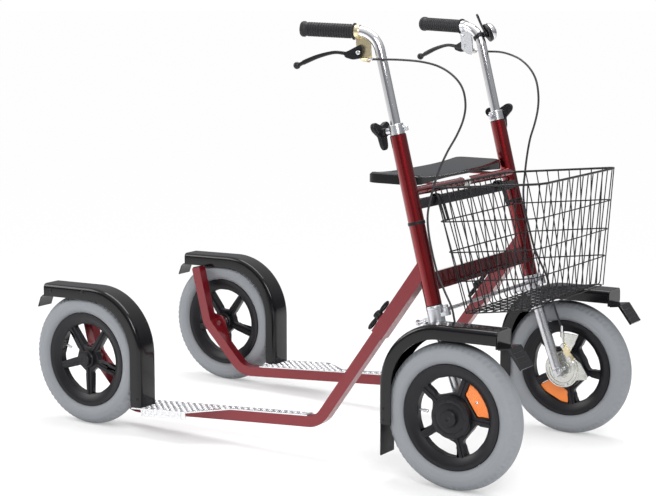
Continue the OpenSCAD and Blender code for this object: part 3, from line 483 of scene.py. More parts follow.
zinc_plate = finish("bright zinc plate", (0.68, 0.69, 0.71), 0.28, metal=1.0, shade=0.2, smudge=0.2, grain=0.08,
                    extra=plating((0.62, 0.64, 0.68)))
tinted_zinc = finish("tinted zinc plate", (0.66, 0.67, 0.66), 0.26, metal=1.0, shade=0.2, smudge=0.2, grain=0.06,
                     extra=plating((0.62, 0.60, 0.46)))
yellow_zinc = finish("yellow zinc plate", (0.78, 0.66, 0.40), 0.30, metal=1.0, shade=0.25, smudge=0.2, grain=0.08,
                     extra=plating((0.80, 0.74, 0.56)))
tread_alloy = finish("tread plate alloy", (0.72, 0.72, 0.74), 0.24, metal=0.95, shade=0.12, smudge=0.25, grain=0.15)
amber = finish("amber reflector", (0.85, 0.20, 0.01), 0.22, grain=0.3, grain_size=700.0, coat=0.8)
# A faint emission makes the amber reflector glow a little: a painted glow, since the reflector is no lamp.
fill(amber.node_tree.nodes["Principled BSDF"], {"Emission Color": (0.9, 0.25, 0.02, 1), "Emission Strength": 0.06})
pale_clip = finish("pale clip moulding", (0.75, 0.75, 0.73), 0.45, grain=0.1)

SLOT_FINISH = {
    "red_paint": red_lacquer, "bush_plastic": black_mould, "seat_plastic": black_gloss, "black_paint": black_mould,
    "black_wire": black_coat, "tread_plate": tread_alloy, "fender_plastic": black_gloss, "zinc_steel": zinc_plate,
    "rim_plastic": black_mould, "grey_tyre": tyre_rubber, "bearing_steel": zinc_plate, "cable_cover": cable_skin,
    "amber_plastic": amber, "chrome_tube": bright_chrome, "grip_rubber": black_rubber, "yellow_zinc": yellow_zinc,
    "black_lever": black_coat, "knob_plastic": black_mould,
}


def dress(node, material):
    """Gives a CAD node one material."""
    materials = frame["nodes"][node].data.materials
    materials.clear()
    materials.append(material)


for part in frame["record"]["subparts"]:
    dress(part["node"], SLOT_FINISH[part["material_slot"]])
for letter in "lr":
    dress("rail_" + letter, rail_lacquer)
    dress("sleeve_" + letter, rail_lacquer)
    dress("brake_plate_" + letter, tinted_zinc)
dress("lever_bracket_l", zinc_plate)


def piece(name, shape, material, body, stands_for=(), sharp=32):
    """A shown piece that moves with a body of the frame."""
    name = name.replace(" ", "_")
    points, faces = shape
    mesh = bpy.data.meshes.new(name)
    mesh.from_pydata([tuple(p) for p in points], [], faces)
    work = bmesh.new()
    work.from_mesh(mesh)
    bmesh.ops.recalc_face_normals(work, faces=work.faces[:])
    for edge in work.edges:
        edge.smooth = len(edge.link_faces) < 2 or edge.calc_face_angle(0.0) < math.radians(sharp)
    for face in work.faces:
        face.smooth = True
    work.to_mesh(mesh)
    work.free()
    mesh.materials.append(material)
    thing = bpy.data.objects.new(name, mesh)
    bpy.context.scene.collection.objects.link(thing)
    if body:
        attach(thing, body)
    if stands_for:
        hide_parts(*stands_for)
    return thing


def both_sides(name, shape, material, body, stands_for=(), sharp=32):
    """The same piece on the left and, mirrored, on the right."""
    for side, letter, word in SIDES:
        piece(f"{name} {word}", sided(shape, side), material, body + letter,
              [node + letter for node in stands_for], sharp)

# ------------------------------------------------------------------ tyres


def tyre_shape():
    """A balloon tyre: ribbed tread with cut shoulders, plain side walls with fine moulded lines."""
    middle, r = tyre_d / 2 - tyre_w / 2, tyre_w / 2
    steps, blocks = 288, 72
    count, wrap = 44, math.radians(118)
    arc = [-wrap + 2 * wrap * k / count for k in range(count + 1)]
    rings = []
    for i in range(steps):
        t = 2 * math.pi * i / steps
        block_part = (i * blocks / steps) % 1.0
        row = []
        for a in arc:
            d = abs(math.degrees(a))
            cut = 0.0
            if d < 46:
                cut = 0.0011 * max(0.0, math.cos(math.radians(d * 28))) ** 6 if d > 3 else 0.0
            if 26 < d < 58 and block_part < 0.5:
                cut = max(cut, 0.0022 * math.sin(math.pi * (d - 26) / 32) ** 0.7)
            if 78 < d < 82 or 96 < d < 99:
                cut = max(cut, 0.0004)
            q = r - 0.0001 - cut
            radius, z = middle + q * math.cos(a), q * math.sin(a)
            row.append((radius * math.cos(t), radius * math.sin(t), z))
        bead = rim_d / 2 + 0.0006
        for z in (0.0165, 0.0, -0.0165):
            row.append((bead * math.cos(t), bead * math.sin(t), z))
        rings.append(row)
    return skin(rings, loop=True)


tyre = tyre_shape()
both_sides("front tyre", moved(tyre, axle(front_x)), tyre_rubber, "front_wheel_", ["front_tyre_"], 50)
both_sides("rear tyre", moved(tyre, axle(rear_x)), tyre_rubber, "rear_wheel_", ["rear_tyre_"], 50)

# ------------------------------------------------------------------ wheels

web_r = rim_d / 2 - 0.027


def window_outline(r_in, r_out, half_in, half_out, corner, middle):
    """A rounded window, its corner centres given by radius and half width, turned to an angle in degrees."""
    a = math.radians(middle)
    pts = [(r_in, -half_in), (r_out, -half_out), (r_out, half_out), (r_in, half_in)]
    out = []
    for n, (x, y) in enumerate(pts):
        start = (180, 270, 0, 90)[n]
        for k in range(6):
            b = math.radians(start + 18 * k)
            px, py = x + corner * math.cos(b), y + corner * math.sin(b)
            out.append((px * math.cos(a) - py * math.sin(a), px * math.sin(a) + py * math.cos(a)))
    return out


def half_width(r, spoke, corner):
    return r * math.tan(math.radians(36)) - (spoke / 2 + corner) / math.cos(math.radians(36))


def rim_ring():
    half = rim_w / 2
    profile = [(web_r - 0.001, -0.008), (web_r + 0.004, -0.0115), (rim_d / 2 - 0.012, -half + 0.001),
               (rim_d / 2 - 0.007, -half), (rim_d / 2 - 0.001, -half), (rim_d / 2, -half + 0.001),
               (rim_d / 2, -half + 0.004), (rim_d / 2 - 0.0075, -half + 0.005)]
    profile = profile + [(r, -z) for r, z in reversed(profile)]
    return turned(profile, 96)


def valve(x):
    """A tyre valve that stands inward from the rim bed, on local Z of the axle."""
    stem = lathe([(0.0025, 0), (0.0025, 0.014), (0.0036, 0.0145), (0.0036, 0.024), (0.0028, 0.0255),
                  (0.002, 0.026)], 16)
    return moved(stem, turn(x, "Z") @ shift(web_r + 0.002, 0, 0) @ turn(-90, "Y"))


def spoked(radii, spokes, corner, first, rib_from, rib_size, rib_edge):
    """The rim, a web with five windows and a rib on each spoke, as a list of shapes."""
    widths = [half_width(r, spoke, corner) for r, spoke in zip(radii, spokes)]
    windows = [window_outline(*radii, *widths, corner, first - 72 * i) for i in range(5)]
    rib = block((web_r - rib_from, *rib_size), ((web_r + rib_from) / 2, 0, 0), rib_edge)
    ribs = [moved(rib, turn(first - 36 - 72 * i, "Z")) for i in range(5)]
    return [rim_ring(), outline_solid([circle(web_r + 0.002, 96), *windows], 0.0175, 0.0022), *ribs]


def front_wheel(phase, letter, name, side):
    corner, spoke = 0.0085, 0.0155
    r_in, r_out = 0.046 + 0.0035 + corner, web_r - 0.002 - corner
    parts = spoked((r_in, r_out), (spoke, spoke), corner, -phase, 0.044, (0.0035, 0.022), 0.001)
    hub = [(0.0385, -0.0255), (0.0445, -0.0255), (0.046, -0.024), (0.046, 0.017), (0.0445, 0.0195), (0.041, 0.0208),
           (0.034, 0.0212), (0.0325, 0.0206), (0.031, 0.0212), (0.0188, 0.0212), (0.018, 0.0225), (0.018, 0.028),
           (0.0165, 0.0298), (0.006, 0.0302), (0.005, 0.0296), (0.0001, 0.0296)]
    parts.append(turned(hub + [(0.0001, -0.004), (0.0385, -0.004)], 72))
    for i in range(10):
        tooth = block((0.006, 0.0012, 0.0012), (0.0365, 0, 0.0212), 0.0003)
        parts.append(moved(tooth, turn(36 * i, "Z")))
    rim = sided(moved(joined(*parts), axle(front_x)), side)
    piece(f"front rim {name}", rim, black_mould, "front_wheel_" + letter, ["front_rim_" + letter])
    stem = moved(valve(-phase - (144 if side == RIGHT else 72)), axle(front_x))
    piece(f"front valve {name}", sided(stem, side), zinc_plate, "front_wheel_" + letter)
    # the reflector fills one window: ribbed lens, dark clip edge and a centre screw
    at = -phase - (0 if side == RIGHT else 216)
    corner_in = corner - 0.0012
    lens = outline_solid([window_outline(r_in, r_out, half_width(r_in, spoke, corner),
                                         half_width(r_out, spoke, corner), corner_in, at)], 0.008, 0.0012)
    ridges = []
    for k in range(9):
        radius = 0.053 + 0.0035 * k
        half = half_width(radius, spoke, 0.002) - 0.004
        ridges.append(moved(block((0.0012, 2 * half, 0.0012), (radius, 0, 0.0041), 0.0004), turn(at, "Z")))
    screw = moved(dome_bolt(0.0034, 0.0022), turn(at, "Z") @ shift((0.046 + web_r) / 2, 0, 0.0042))
    for label, shape, material, node, slot in (
            ("reflector lens", joined(lens, *ridges), amber, ["reflector_" + letter], "amber_plastic"),
            ("reflector screw", screw, zinc_plate, (), None)):
        piece(f"{label} {name}", sided(moved(shape, axle(front_x)), side), material, "front_wheel_" + letter, node)


front_wheel(29, "l", "left", LEFT)
front_wheel(34, "r", "right", RIGHT)


def rear_wheel():
    corner = 0.006
    r_in, r_out = 0.021 + 0.009 + corner, web_r - 0.002 - corner
    parts = spoked((r_in, r_out), (0.017, 0.013), corner, -18, 0.02, (0.004, 0.0235), 0.0012)
    hub = [(0.0142, -0.0168), (0.019, -0.0168), (0.021, -0.015), (0.021, 0.0145), (0.019, 0.0168), (0.0168, 0.0172),
           (0.0164, 0.0255), (0.0152, 0.0268), (0.007, 0.0269), (0.006, 0.0262), (0.0001, 0.0262)]
    parts.append(turned(hub + [(0.0001, 0.0245), (0.0142, 0.0245)], 56))
    return joined(*parts)


both_sides("rear rim", moved(rear_wheel(), axle(rear_x)), black_mould, "rear_wheel_", ["rear_rim_"])
both_sides("rear valve", moved(valve(-18 - 144), axle(rear_x)), zinc_plate, "rear_wheel_")

# ------------------------------------------------------------------ fenders


def fender_section(depth):
    """Cross-section of a fender as (across, outward) pairs, a closed channel with rounded shoulders."""
    half, thick, top = (fender_out - fender_in) / 2, 0.0025, 0.00125
    outer = softened([(-half, -depth), (-half, top), (half, top), (half, -depth)], 0.011, 6)
    inner = softened([(half - thick, -depth), (half - thick, top - thick), (-half + thick, top - thick),
                      (-half + thick, -depth)], 0.009, 6)
    return outer + inner


def stations(path):
    """Each point of a path with the direction square to it in X and Z."""
    last = len(path) - 1
    for i, p in enumerate(path):
        along = (path[min(i + 1, last)] - path[max(i - 1, 0)]).normalized()
        yield p, Vector((along.z, 0, -along.x))


def fender_shape(path, depth):
    sign = 1 if path[0].x > path[-1].x else -1
    return skin([[p + Vector((0, wheel_y + across, 0)) + sign * out * up for across, up in fender_section(depth)]
                 for p, out in stations(path)])


def bent_path(a, b, c, radius, steps=28):
    """Straight, a true quarter-like bend, straight; in X and Z."""
    a, b, c = (Vector((p[0], 0, p[1])) for p in (a, b, c))
    u, v = (a - b).normalized(), (c - b).normalized()
    half = u.angle(v) / 2
    reach = radius / math.tan(half)
    centre = b + (u + v).normalized() * radius / math.sin(half)
    p, q = b + u * reach - centre, b + v * reach - centre
    whole = p.angle(q)
    out = [a, a.lerp(b + u * reach, 0.5)]
    for k in range(steps + 1):
        t = k / steps
        out.append(centre + (math.sin((1 - t) * whole) * p + math.sin(t * whole) * q) / math.sin(whole))
    out += [(b + v * reach).lerp(c, 0.5), c]
    return out


def end_wall(x, top, low):
    """The closed end of a fender."""
    half = (fender_out - fender_in) / 2
    shape = outline_solid([softened([(-half, 0), (-half, top - low), (half, top - low), (half, 0)], 0.011, 6)],
                          0.0025, 0.0004)
    stand = Matrix(((0, 0, 1, x), (1, 0, 0, wheel_y), (0, 1, 0, low), (0, 0, 0, 1)))
    return moved(shape, stand)


def flap(points, width, ribs):
    """A stiff flap below a fender's end, drawn as its side view, with raised edges and ribs across."""
    half = width / 2
    rings = [[Vector((x, wheel_y + y, z)) for x, z in points] for y in
             (-half, -half + 0.0008, half - 0.0008, half)]
    shape = skin(rings)
    extra = []
    a, b = ribs
    for k in range(3):
        t = (k + 1) / 4
        x, z = a[0] + (b[0] - a[0]) * t, a[1] + (b[1] - a[1]) * t
        extra.append(tube([(x, wheel_y - half + 0.003, z), (x, wheel_y + half - 0.003, z)], 0.0008, 6))
    for y in (-half + 0.0015, half - 0.0015):
        extra.append(tube([(a[0], wheel_y + y, a[1]), (b[0], wheel_y + y, b[1])], 0.0012, 6))
    return joined(shape, *extra)


t2 = 0.00125
top, end_x, end_top = axle_z + 0.193, front_x + 0.113, axle_z + 0.197
back_x = front_x - 0.168 + t2
front_path = bent_path((end_x, end_top - t2), (back_x, top - t2), (back_x, axle_z - 0.034), 0.143)
end_low = end_top - 0.037
front_parts = [fender_shape(front_path, 0.029), end_wall(end_x - t2, end_top, end_low)]
front_parts.append(flap([(end_x, end_low + 0.002), (end_x + 0.025, end_low + 0.005), (front_x + 0.168, axle_z + 0.126),
                         (end_x + 0.051, axle_z + 0.122), (end_x + 0.021, end_low + 0.001), (end_x, end_low - 0.002)],
                        0.053, ((end_x + 0.026, end_low + 0.004), (front_x + 0.166, axle_z + 0.1275))))
for y in (fender_in + 0.0035, fender_out - 0.0035):
    front_parts.append(block((0.004, 0.004, 0.034), (end_x - 0.003, y, (end_top + end_low) / 2 - 0.002), 0.001))
mud_flap = block((0.003, fender_out - fender_in - 0.0062, 0.096), (back_x + 0.0029, wheel_y, axle_z - 0.056), 0.001)
both_sides("front fender", joined(*front_parts), black_gloss, "column_", ["front_fender_"])
both_sides("front mud flap", mud_flap, black_rubber, "column_")
rivets = []
for y in (wheel_y - 0.018, wheel_y + 0.018):
    rivets.append(moved(dome_bolt(0.0036, 0.0016), shift(back_x - 0.0012, y, axle_z - 0.022) @ turn(-90, "Y")))
for z in (axle_z, axle_z - 0.024):
    rivets.append(moved(dome_bolt(0.0036, 0.0016), shift(back_x + 0.010, fender_out - 0.0002, z) @ turn(-90, "X")))
both_sides("front fender rivets", joined(*rivets), black_mould, "column_")

top, end_x, end_top = axle_z + 0.183, rear_x - 0.118, axle_z + 0.176
face_x = rear_x + 0.178 - t2
foot = rail_z + (rear_x + 0.178) * math.tan(rail_slope) + (rail_w / 2 + 0.003) / math.cos(rail_slope) + 0.0002
rear_path = bent_path((end_x, end_top - t2), (face_x, top - t2), (face_x, foot), 0.150)
end_low = end_top - 0.031
rear_parts = [fender_shape(rear_path, 0.029), end_wall(end_x + t2, end_top, end_low)]
rear_parts.append(flap([(end_x, end_low + 0.002), (end_x - 0.010, end_low + 0.001), (end_x - 0.018, end_low - 0.006),
                        (end_x - 0.027, axle_z + 0.116), (end_x - 0.0252, axle_z + 0.115),
                        (end_x - 0.0165, end_low - 0.0078), (end_x - 0.0092, end_low - 0.0012),
                        (end_x, end_low - 0.0005)],
                       0.046, ((end_x - 0.0175, end_low - 0.0065), (end_x - 0.0262, axle_z + 0.117))))
both_sides("rear fender", joined(*rear_parts), black_gloss, "rail_", ["rear_fender_"])
screws = []
for x, z in ((end_x + 0.022, end_top - 0.016), (rear_x + 0.005, top - 0.016)):
    screws.append(moved(dome_bolt(0.0042, 0.002), shift(x, fender_out - 0.0002, z) @ turn(-90, "X")))
screws.append(moved(dome_bolt(0.0036, 0.0016),
                    shift(face_x - 0.010, fender_out - 0.0002, foot + 0.02) @ turn(-90, "X")))
both_sides("rear fender screws", joined(*screws), black_mould, "rail_")

# ------------------------------------------------------------------ seat


seat_high, seat_thick = axle_z + 0.4915, 0.024
tube_z = seat_high - seat_thick - 0.01 - 0.0003
tube_x = head_x - (tube_z - head_z) * math.tan(lean) + 0.006


def seat_shape():
    """A moulded seat: raised ends, a dished middle, rounded edges and a hollow underside."""
    length, width, thick, high = 0.128, 0.410, seat_thick, seat_high
    middle_x = tube_x - 0.005 - length / 2
    rows, columns = 22, 60

    def surface(u, v):
        """u from back to front, v from right to left, both from -1 to 1."""
        side = abs(v)
        dish = 0.0115 * (1 - side ** 3) * (1 - 0.30 * abs(u) ** 4)
        edge_v = max(0.0, side - 0.93) / 0.07
        edge_u = max(0.0, abs(u) - 0.86) / 0.14
        return high - dish - 0.006 * edge_u ** 2.2 - 0.004 * edge_v ** 2.2

    def outline(u, v, inset=0.0):
        x, y = u * (length / 2 - inset), v * (width / 2 - inset)
        corner = 0.030 - inset
        cx, cy = length / 2 - inset - corner, width / 2 - inset - corner
        if abs(x) > cx and abs(y) > cy:
            dx, dy = abs(x) - cx, abs(y) - cy
            far = max(dx, dy) / math.hypot(dx, dy)
            x, y = math.copysign(cx + dx * far, x), math.copysign(cy + dy * far, y)
        return middle_x + x, y

    points, faces, index = [], [], {}
    for i in range(rows + 1):
        for j in range(columns + 1):
            u, v = 2 * i / rows - 1, 2 * j / columns - 1
            x, y = outline(u, v)
            index[i, j] = len(points)
            points.append((x, y, surface(u, v)))
    for i in range(rows):
        for j in range(columns):
            faces.append((index[i, j], index[i + 1, j], index[i + 1, j + 1], index[i, j + 1]))
    border = ([(i, 0) for i in range(rows)] + [(rows, j) for j in range(columns)]
              + [(i, columns) for i in range(rows, 0, -1)] + [(0, j) for j in range(columns, 0, -1)])
    edge = [index[b] for b in border]
    for drop, inset in ((0.45, 0.0), (1.0, 0.0), (1.0, 0.003), (0.35, 0.004)):
        ring = []
        for i, j in border:
            u, v = 2 * i / rows - 1, 2 * j / columns - 1
            x, y = outline(u, v, inset)
            arch = 0.006 * (1 - min(1.0, abs(v) * 1.15) ** 2) if drop == 1.0 and abs(abs(u) - 1) < 1e-6 else 0.0
            z = surface(u, v) + (high - thick + arch - surface(u, v)) * drop
            ring.append(len(points))
            points.append((x, y, z))
        for k in range(len(ring)):
            n = (k + 1) % len(ring)
            faces.append((edge[k], edge[n], ring[n], ring[k]))
        edge = ring
    faces.append(tuple(edge))
    return points, faces


piece("seat", seat_shape(), black_gloss, "frame", ["seat"], 40)
clip = collar(0.0102, 0.0118, -0.0125, 0.0125, 0.001, 1, 32)
piece("seat clip", moved(clip, shift(tube_x, 0, tube_z) @ turn(90, "X")), pale_clip, "frame")

# ------------------------------------------------------------------ basket

wire, rim_wire, half_wide = 0.0015, 0.0025, 0.187
rear_low, rear_top = Vector((head_x + 0.046, 0, head_z - 0.021)), Vector((head_x - 0.040, 0, head_z + 0.241))
front_low, front_top = Vector((front_x + 0.128, 0, head_z + 0.003)), Vector((front_x + 0.150, 0, head_z + 0.268))
levels = (0.0, 0.255, 0.485, 0.73, 1.0)


def at(p, y):
    return Vector((p.x, y, p.z))


basket = []
corner_r = 0.030
for level in levels:
    r, f = rear_low.lerp(rear_top, level), front_low.lerp(front_top, level)
    corners = [at(r, -half_wide), at(f, -half_wide), at(f, half_wide), at(r, half_wide)]
    path = rounded_path(corners, corner_r, 8, loop=True)
    basket.append(tube(path, rim_wire if level == 1.0 else wire, 8 if level == 1.0 else 6, loop=True))


def side_upright(share):
    low = at(rear_low.lerp(front_low, share), half_wide)
    top = at(rear_top.lerp(front_top, share), half_wide)
    return low, top


count_side, count_front = 9, 14
for i in range(count_side + 1):
    share = (i + 0.62) / (count_side + 0.9)
    low, high_end = side_upright(share)
    for sign in (1, -1):
        basket.append(tube([(low.x, sign * (low.y - 0.0022), low.z - wire),
                            (high_end.x, sign * (high_end.y - 0.0022), high_end.z)], wire * 0.9, 6))
for i in range(count_front):
    y = (-half_wide + 0.012) + (2 * half_wide - 0.024) * (i + 0.5) / count_front
    bottom_r, bottom_f = at(rear_low, y), at(front_low, y)
    path = [at(rear_top, y) + Vector((0.002, 0, 0)), bottom_r + Vector((0.003, 0, 0.002)),
            bottom_f + Vector((-0.003, 0, 0.002)), at(front_top, y) + Vector((-0.002, 0, 0))]
    basket.append(tube(rounded_path(path, 0.010, 4), wire * 0.9, 6))
for i in range(6):
    share = (i + 1) / 7
    p = rear_low.lerp(front_low, share)
    basket.append(tube([at(p, -half_wide + 0.001), at(p, half_wide - 0.001)], wire, 6))
hook_x = tube_x + 0.010
carrier_top = tube_z - 0.010 - 0.005 - 0.0009
hook_front, hook_rear = hook_x + 0.006 + 0.0025 + 0.0003, hook_x - 0.006 - 0.0025 - 0.0003
hook_z = carrier_top + 0.0025 + 0.0003
hook_low = rear_low.lerp(rear_top, 0.73)
for sign in (1, -1):
    for y in (0.150, 0.138):
        path = [(hook_low.x, sign * y, hook_low.z), (hook_front, sign * y, hook_z),
                (hook_rear, sign * y, hook_z), (hook_rear, sign * y, hook_z - 0.015)]
        basket.append(tube(rounded_path(path, 0.007, 5), 0.0024, 8))
    basket.append(tube([(hook_low.x, sign * y, hook_low.z) for y in (0.138, 0.150)], 0.0024, 8))
piece("basket", joined(*basket), black_coat, "frame",
      ["basket_front", "basket_back", "basket_left", "basket_right", "basket_floor"], 60)

# ------------------------------------------------------------------ handles, grips, levers


def grip_shape():
    """A ribbed rubber grip with a stop flange at the front and a rounded end."""
    length, ribs = 0.125, 17
    profile = [(0.0112, 0.0), (0.0165, 0.0), (0.0179, 0.0012), (0.0179, 0.003), (0.0165, 0.0042), (0.0148, 0.0052)]
    first, last = 0.008, length - 0.016
    pitch = (last - first) / ribs
    for i in range(ribs):
        z = first + i * pitch
        profile += [(0.0143, z), (0.0143, z + 0.22 * pitch), (0.0154, z + 0.36 * pitch), (0.0154, z + 0.84 * pitch)]
    profile += [(0.0143, last), (0.0148, last + 0.004), (0.0168, last + 0.0065), (0.0168, last + 0.0115),
                (0.0155, last + 0.014), (0.012, length - 0.0008), (0.004, length), (0.0001, length)]
    return turned(profile + [(0.0001, length - 0.007), (0.0112, length - 0.007)], 40)


both_sides("grip", moved(grip_shape(), GRIP @ shift(0, 0, 0.008)), black_rubber, "handle_", ["grip_"])


def lever_shape():
    """A cast brake lever: a broad root, a waist for the finger, a curved blade and a ball end."""
    drop, squareness = 0.044, 0.75
    path = curve_through([(drop + 0.001, 0, -0.003), (drop + 0.006, 0, 0.014), (drop + 0.003, 0, 0.034),
                          (drop + 0.003, 0, 0.056), (drop + 0.012, 0, 0.088), (drop + 0.024, 0, 0.116),
                          (drop + 0.035, 0, 0.137)], 7)
    rings = []
    for i, (p, up) in enumerate(stations(path)):
        t = i / (len(path) - 1)
        tall = 0.0052 * (1 - 0.30 * math.sin(math.pi * min(1.0, t * 1.15)) ** 2) if t < 0.9 else 0.0042
        wide = 0.0044
        ring = []
        for k in range(14):
            a = 2 * math.pi * k / 14
            c, s = math.cos(a), math.sin(a)
            ring.append(p + up * (tall * math.copysign(abs(c) ** squareness, c))
                        + Vector((0, wide * math.copysign(abs(s) ** squareness, s), 0)))
        rings.append(ring)
    blade = skin(rings)
    ball_rows = [(0.0079 * math.sin(math.pi * k / 12) + 1e-5, -0.0079 * math.cos(math.pi * k / 12)) for k in range(13)]
    ball = moved(lathe(ball_rows, 22), shift(drop + 0.035, 0, 0.139))
    boss = moved(collar(0.0031, 0.0088, -0.0044, 0.0044, 0.001, 2, 32),
                 shift(drop, 0, -0.003) @ turn(90, "X"))
    root = [(27, -6), (33, 6), (41, 20), (46, 32), (56, 28), (60, 10), (56, -8), (44, -12), (32, -12)]
    plate = outline_solid([softened([(x * MM, z * MM) for x, z in root], 0.004, 3)], 0.0088, 0.0012)
    return joined(blade, ball, boss, moved(plate, turn(90, "X")))


both_sides("brake lever", moved(lever_shape(), GRIP), black_coat, "brake_lever_", ["brake_lever_"])


def bracket_extras():
    """Clamp screw, pivot screw head and the cable adjuster of a lever bracket."""
    parts = [moved(hex_nut(0.008, 0.003), GRIP @ shift(0.044, 0.0078, -0.003) @ turn(-90, "X")),
             moved(dome_bolt(0.0048, 0.0018), GRIP @ shift(0.044, -0.0073, -0.003) @ turn(90, "X")),
             moved(dome_bolt(0.0036, 0.0025), GRIP @ shift(0.020, 0.0078, 0.0) @ turn(-90, "X"))]
    return joined(*parts)


both_sides("lever screws", bracket_extras(), zinc_plate, "handle_")
barrel = Vector((head_x - 0.157, column_y + 0.015, head_z + 0.514))
adjuster = [moved(collar(0.0026, 0.0039, 0, 0.007, 0.0008, 2, 20),
                  shift(barrel.x - 0.0085, barrel.y - 0.001, barrel.z - 0.0005) @ turn(90, "Y"))]
for k in range(8):
    adjuster.append(moved(block((0.006, 0.0009, 0.0012), (barrel.x - 0.005, 0, 0), 0.0002),
                          shift(0, barrel.y - 0.001, barrel.z - 0.0005) @ turn(45 * k, "X") @ shift(0, 0, 0.0039)))
both_sides("cable adjuster", joined(*adjuster), yellow_zinc, "handle_")

# ------------------------------------------------------------------ brake cables

route = [(-157, 15, 514), (-128, 16, 514), (-90, 4, 514), (-50, -22, 510), (-15, -38, 500), (14, -48, 481),
         (33, -54, 455), (40, -55, 421), (37, -51, 389), (26, -43, 356), (10, -32, 321), (-3, -20, 281),
         (-13, -10, 236), (-19, -4, 193), (-16, -2, 156), (-5, 0, 111), (9, 0, 66), (26, 0, 31), (43, 0, -1),
         (51, 1, -29), (60, 4, -64), (71, 7, -97), (79, 10.5, -119), (80, 10.5, -130)]
cable_path = curve_through([(head_x + x * MM, column_y + y * MM, head_z + z * MM) for x, y, z in route], 7)
for side, letter, word in SIDES:
    shape = tube(cable_path, 0.0024, 10)
    cable = piece(f"brake cable {word}", sided(shape, side), cable_skin, None)
    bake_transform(cable)
    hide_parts("brake_cable_" + letter)
ends = []
for at_index, turn_to in ((0, 1), (-1, -2)):
    p, q = cable_path[at_index], cable_path[turn_to]
    ends.append((p, (q - p).normalized()))
cap_in = tube([ends[0][0], ends[0][0] + ends[0][1] * 0.012], 0.0031, 12)
cap_out = tube([ends[1][0], ends[1][0] + ends[1][1] * 0.014], 0.0031, 12)
both_sides("cable end cap", cap_in, bright_chrome, "handle_")
both_sides("cable lower cap", cap_out, bright_chrome, "column_")
inner = tube([cable_path[-1], (front_x + 0.0045, column_y + 0.0105, axle_z + 0.072),
              (front_x + 0.004, column_y + 0.0097, axle_z + 0.054)], 0.0009, 8)
both_sides("brake wire", inner, zinc_plate, "column_")
pinch = joined(moved(hex_nut(0.009, 0.004), shift(front_x + 0.004, column_y + 0.0078, axle_z + 0.058) @ turn(90, "X")),
               moved(dome_bolt(0.0042, 0.0022),
                     shift(front_x + 0.004, column_y + 0.0113, axle_z + 0.058) @ turn(-90, "X")))
both_sides("wire clamp", pinch, zinc_plate, "brake_arm_")
band = collar(0.0176, 0.0188, -0.0035, 0.0035, 0.0006, 1, 48)
clip_at = (0.550 - head_z) / math.cos(lean)
for side, letter, word in SIDES:
    shape = moved(band, COLUMN @ shift(0, 0, clip_at))
    piece(f"cable band {word}", sided(shape, side), black_mould, "frame")

# ------------------------------------------------------------------ knobs

knob_at = head_len + 0.0015 + 0.0003 + 0.011


def star_knob():
    """A three-armed knob on local Z, its collar below."""
    outline = []
    for k in range(120):
        a = 2 * math.pi * k / 120
        wave = math.cos(3 * a)
        r = 0.0235 + (0.0075 if wave < 0 else 0.0135) * wave
        outline.append((r * math.cos(a), r * math.sin(a)))
    head = moved(outline_solid([outline], 0.010, 0.0025, 3), shift(0, 0, 0.039))
    hub = lathe([(0.0088, 0.026), (0.0094, 0.027), (0.0094, 0.034), (0.012, 0.036)], 28)
    cap = lathe([(0.0085, 0.0438), (0.0085, 0.0446), (0.0070, 0.0452), (0.0001, 0.0454)], 28)
    return joined(head, hub, cap)


screw = lathe([(0.0040, 0.0118), (0.0040, 0.030)], 20)
for side, letter, word, angle in ((LEFT, "l", "left", 105), (RIGHT, "r", "right", 180)):
    place = COLUMN @ shift(0, 0, knob_at) @ turn(angle, "Z") @ turn(90, "Y")
    for name, shape, material, node in (("clamp knob", star_knob(), black_mould, ["clamp_knob_" + letter]),
                                        ("clamp screw", screw, zinc_plate, ())):
        shape = moved(shape, place)
        piece(f"{name} {word}", sided(shape, side), material, "clamp_knob_" + letter, node)
    # the split clamp's lug and its bolt, opposite the knob
    lug = joined(moved(block((0.010, 0.007, 0.013), (0.0195, 0.0, 0.0), 0.0015), turn(angle + 150, "Z")),
                 moved(hex_nut(0.008, 0.0035), turn(angle + 150, "Z") @ shift(0.0195, 0.0035, 0) @ turn(-90, "X")),
                 collar(0.0138, 0.0162, 0.0085, 0.0112, 0.0008, 2, 40))
    lug = moved(lug, COLUMN @ shift(0, 0, knob_at))
    piece(f"clamp lug {word}", sided(lug, side), zinc_plate, "column_" + letter)


def bow_knob():
    """A knob with two open loops, like a bow."""
    parts = [lathe([(0.0092, 0.0), (0.0102, 0.001), (0.0102, 0.012), (0.0088, 0.0138), (0.0001, 0.0140)], 30)]
    for sign in (1, -1):
        path = []
        for k in range(28):
            a = 2 * math.pi * k / 28
            x = 0.0238 + 0.0142 * math.cos(a) * (1 + 0.04 * math.cos(2 * a))
            y = (0.0082 + 0.0010 * math.cos(a)) * math.sin(a)
            path.append((sign * x, y, 0.0065))
        parts.append(tube(path, 0.0028, 10, loop=True))
        parts.append(block((0.010, 0.010, 0.006), (sign * 0.0095, 0, 0.0065), 0.0015))
    return joined(*parts)


knob_place = SLEEVE @ shift(0.032, 0, 0)
knob_foot = (rail_w + 2 * (0.0004 + 0.0025)) / 2 + 0.005
both_sides("sleeve knob", moved(bow_knob(), knob_place @ shift(0, 0, knob_foot)), black_mould, "sleeve_knob_",
           ["sleeve_knob_"])
both_sides("sleeve screw", moved(lathe([(0.0040, rail_w / 2 + 0.0005), (0.0040, knob_foot + 0.001)], 20), knob_place),
           zinc_plate, "sleeve_knob_")
lip = collar(0.0048, 0.0082, 0.0, 0.0016, 0.0005, 1, 28)
both_parts = moved(lip, knob_place @ shift(0, 0, rail_w / 2 + 0.0029 + 0.0033))
for side, letter, word in SIDES:
    piece(f"sleeve boss lip {word}", sided(both_parts, side), rail_lacquer, "frame")

# ------------------------------------------------------------------ tread plate

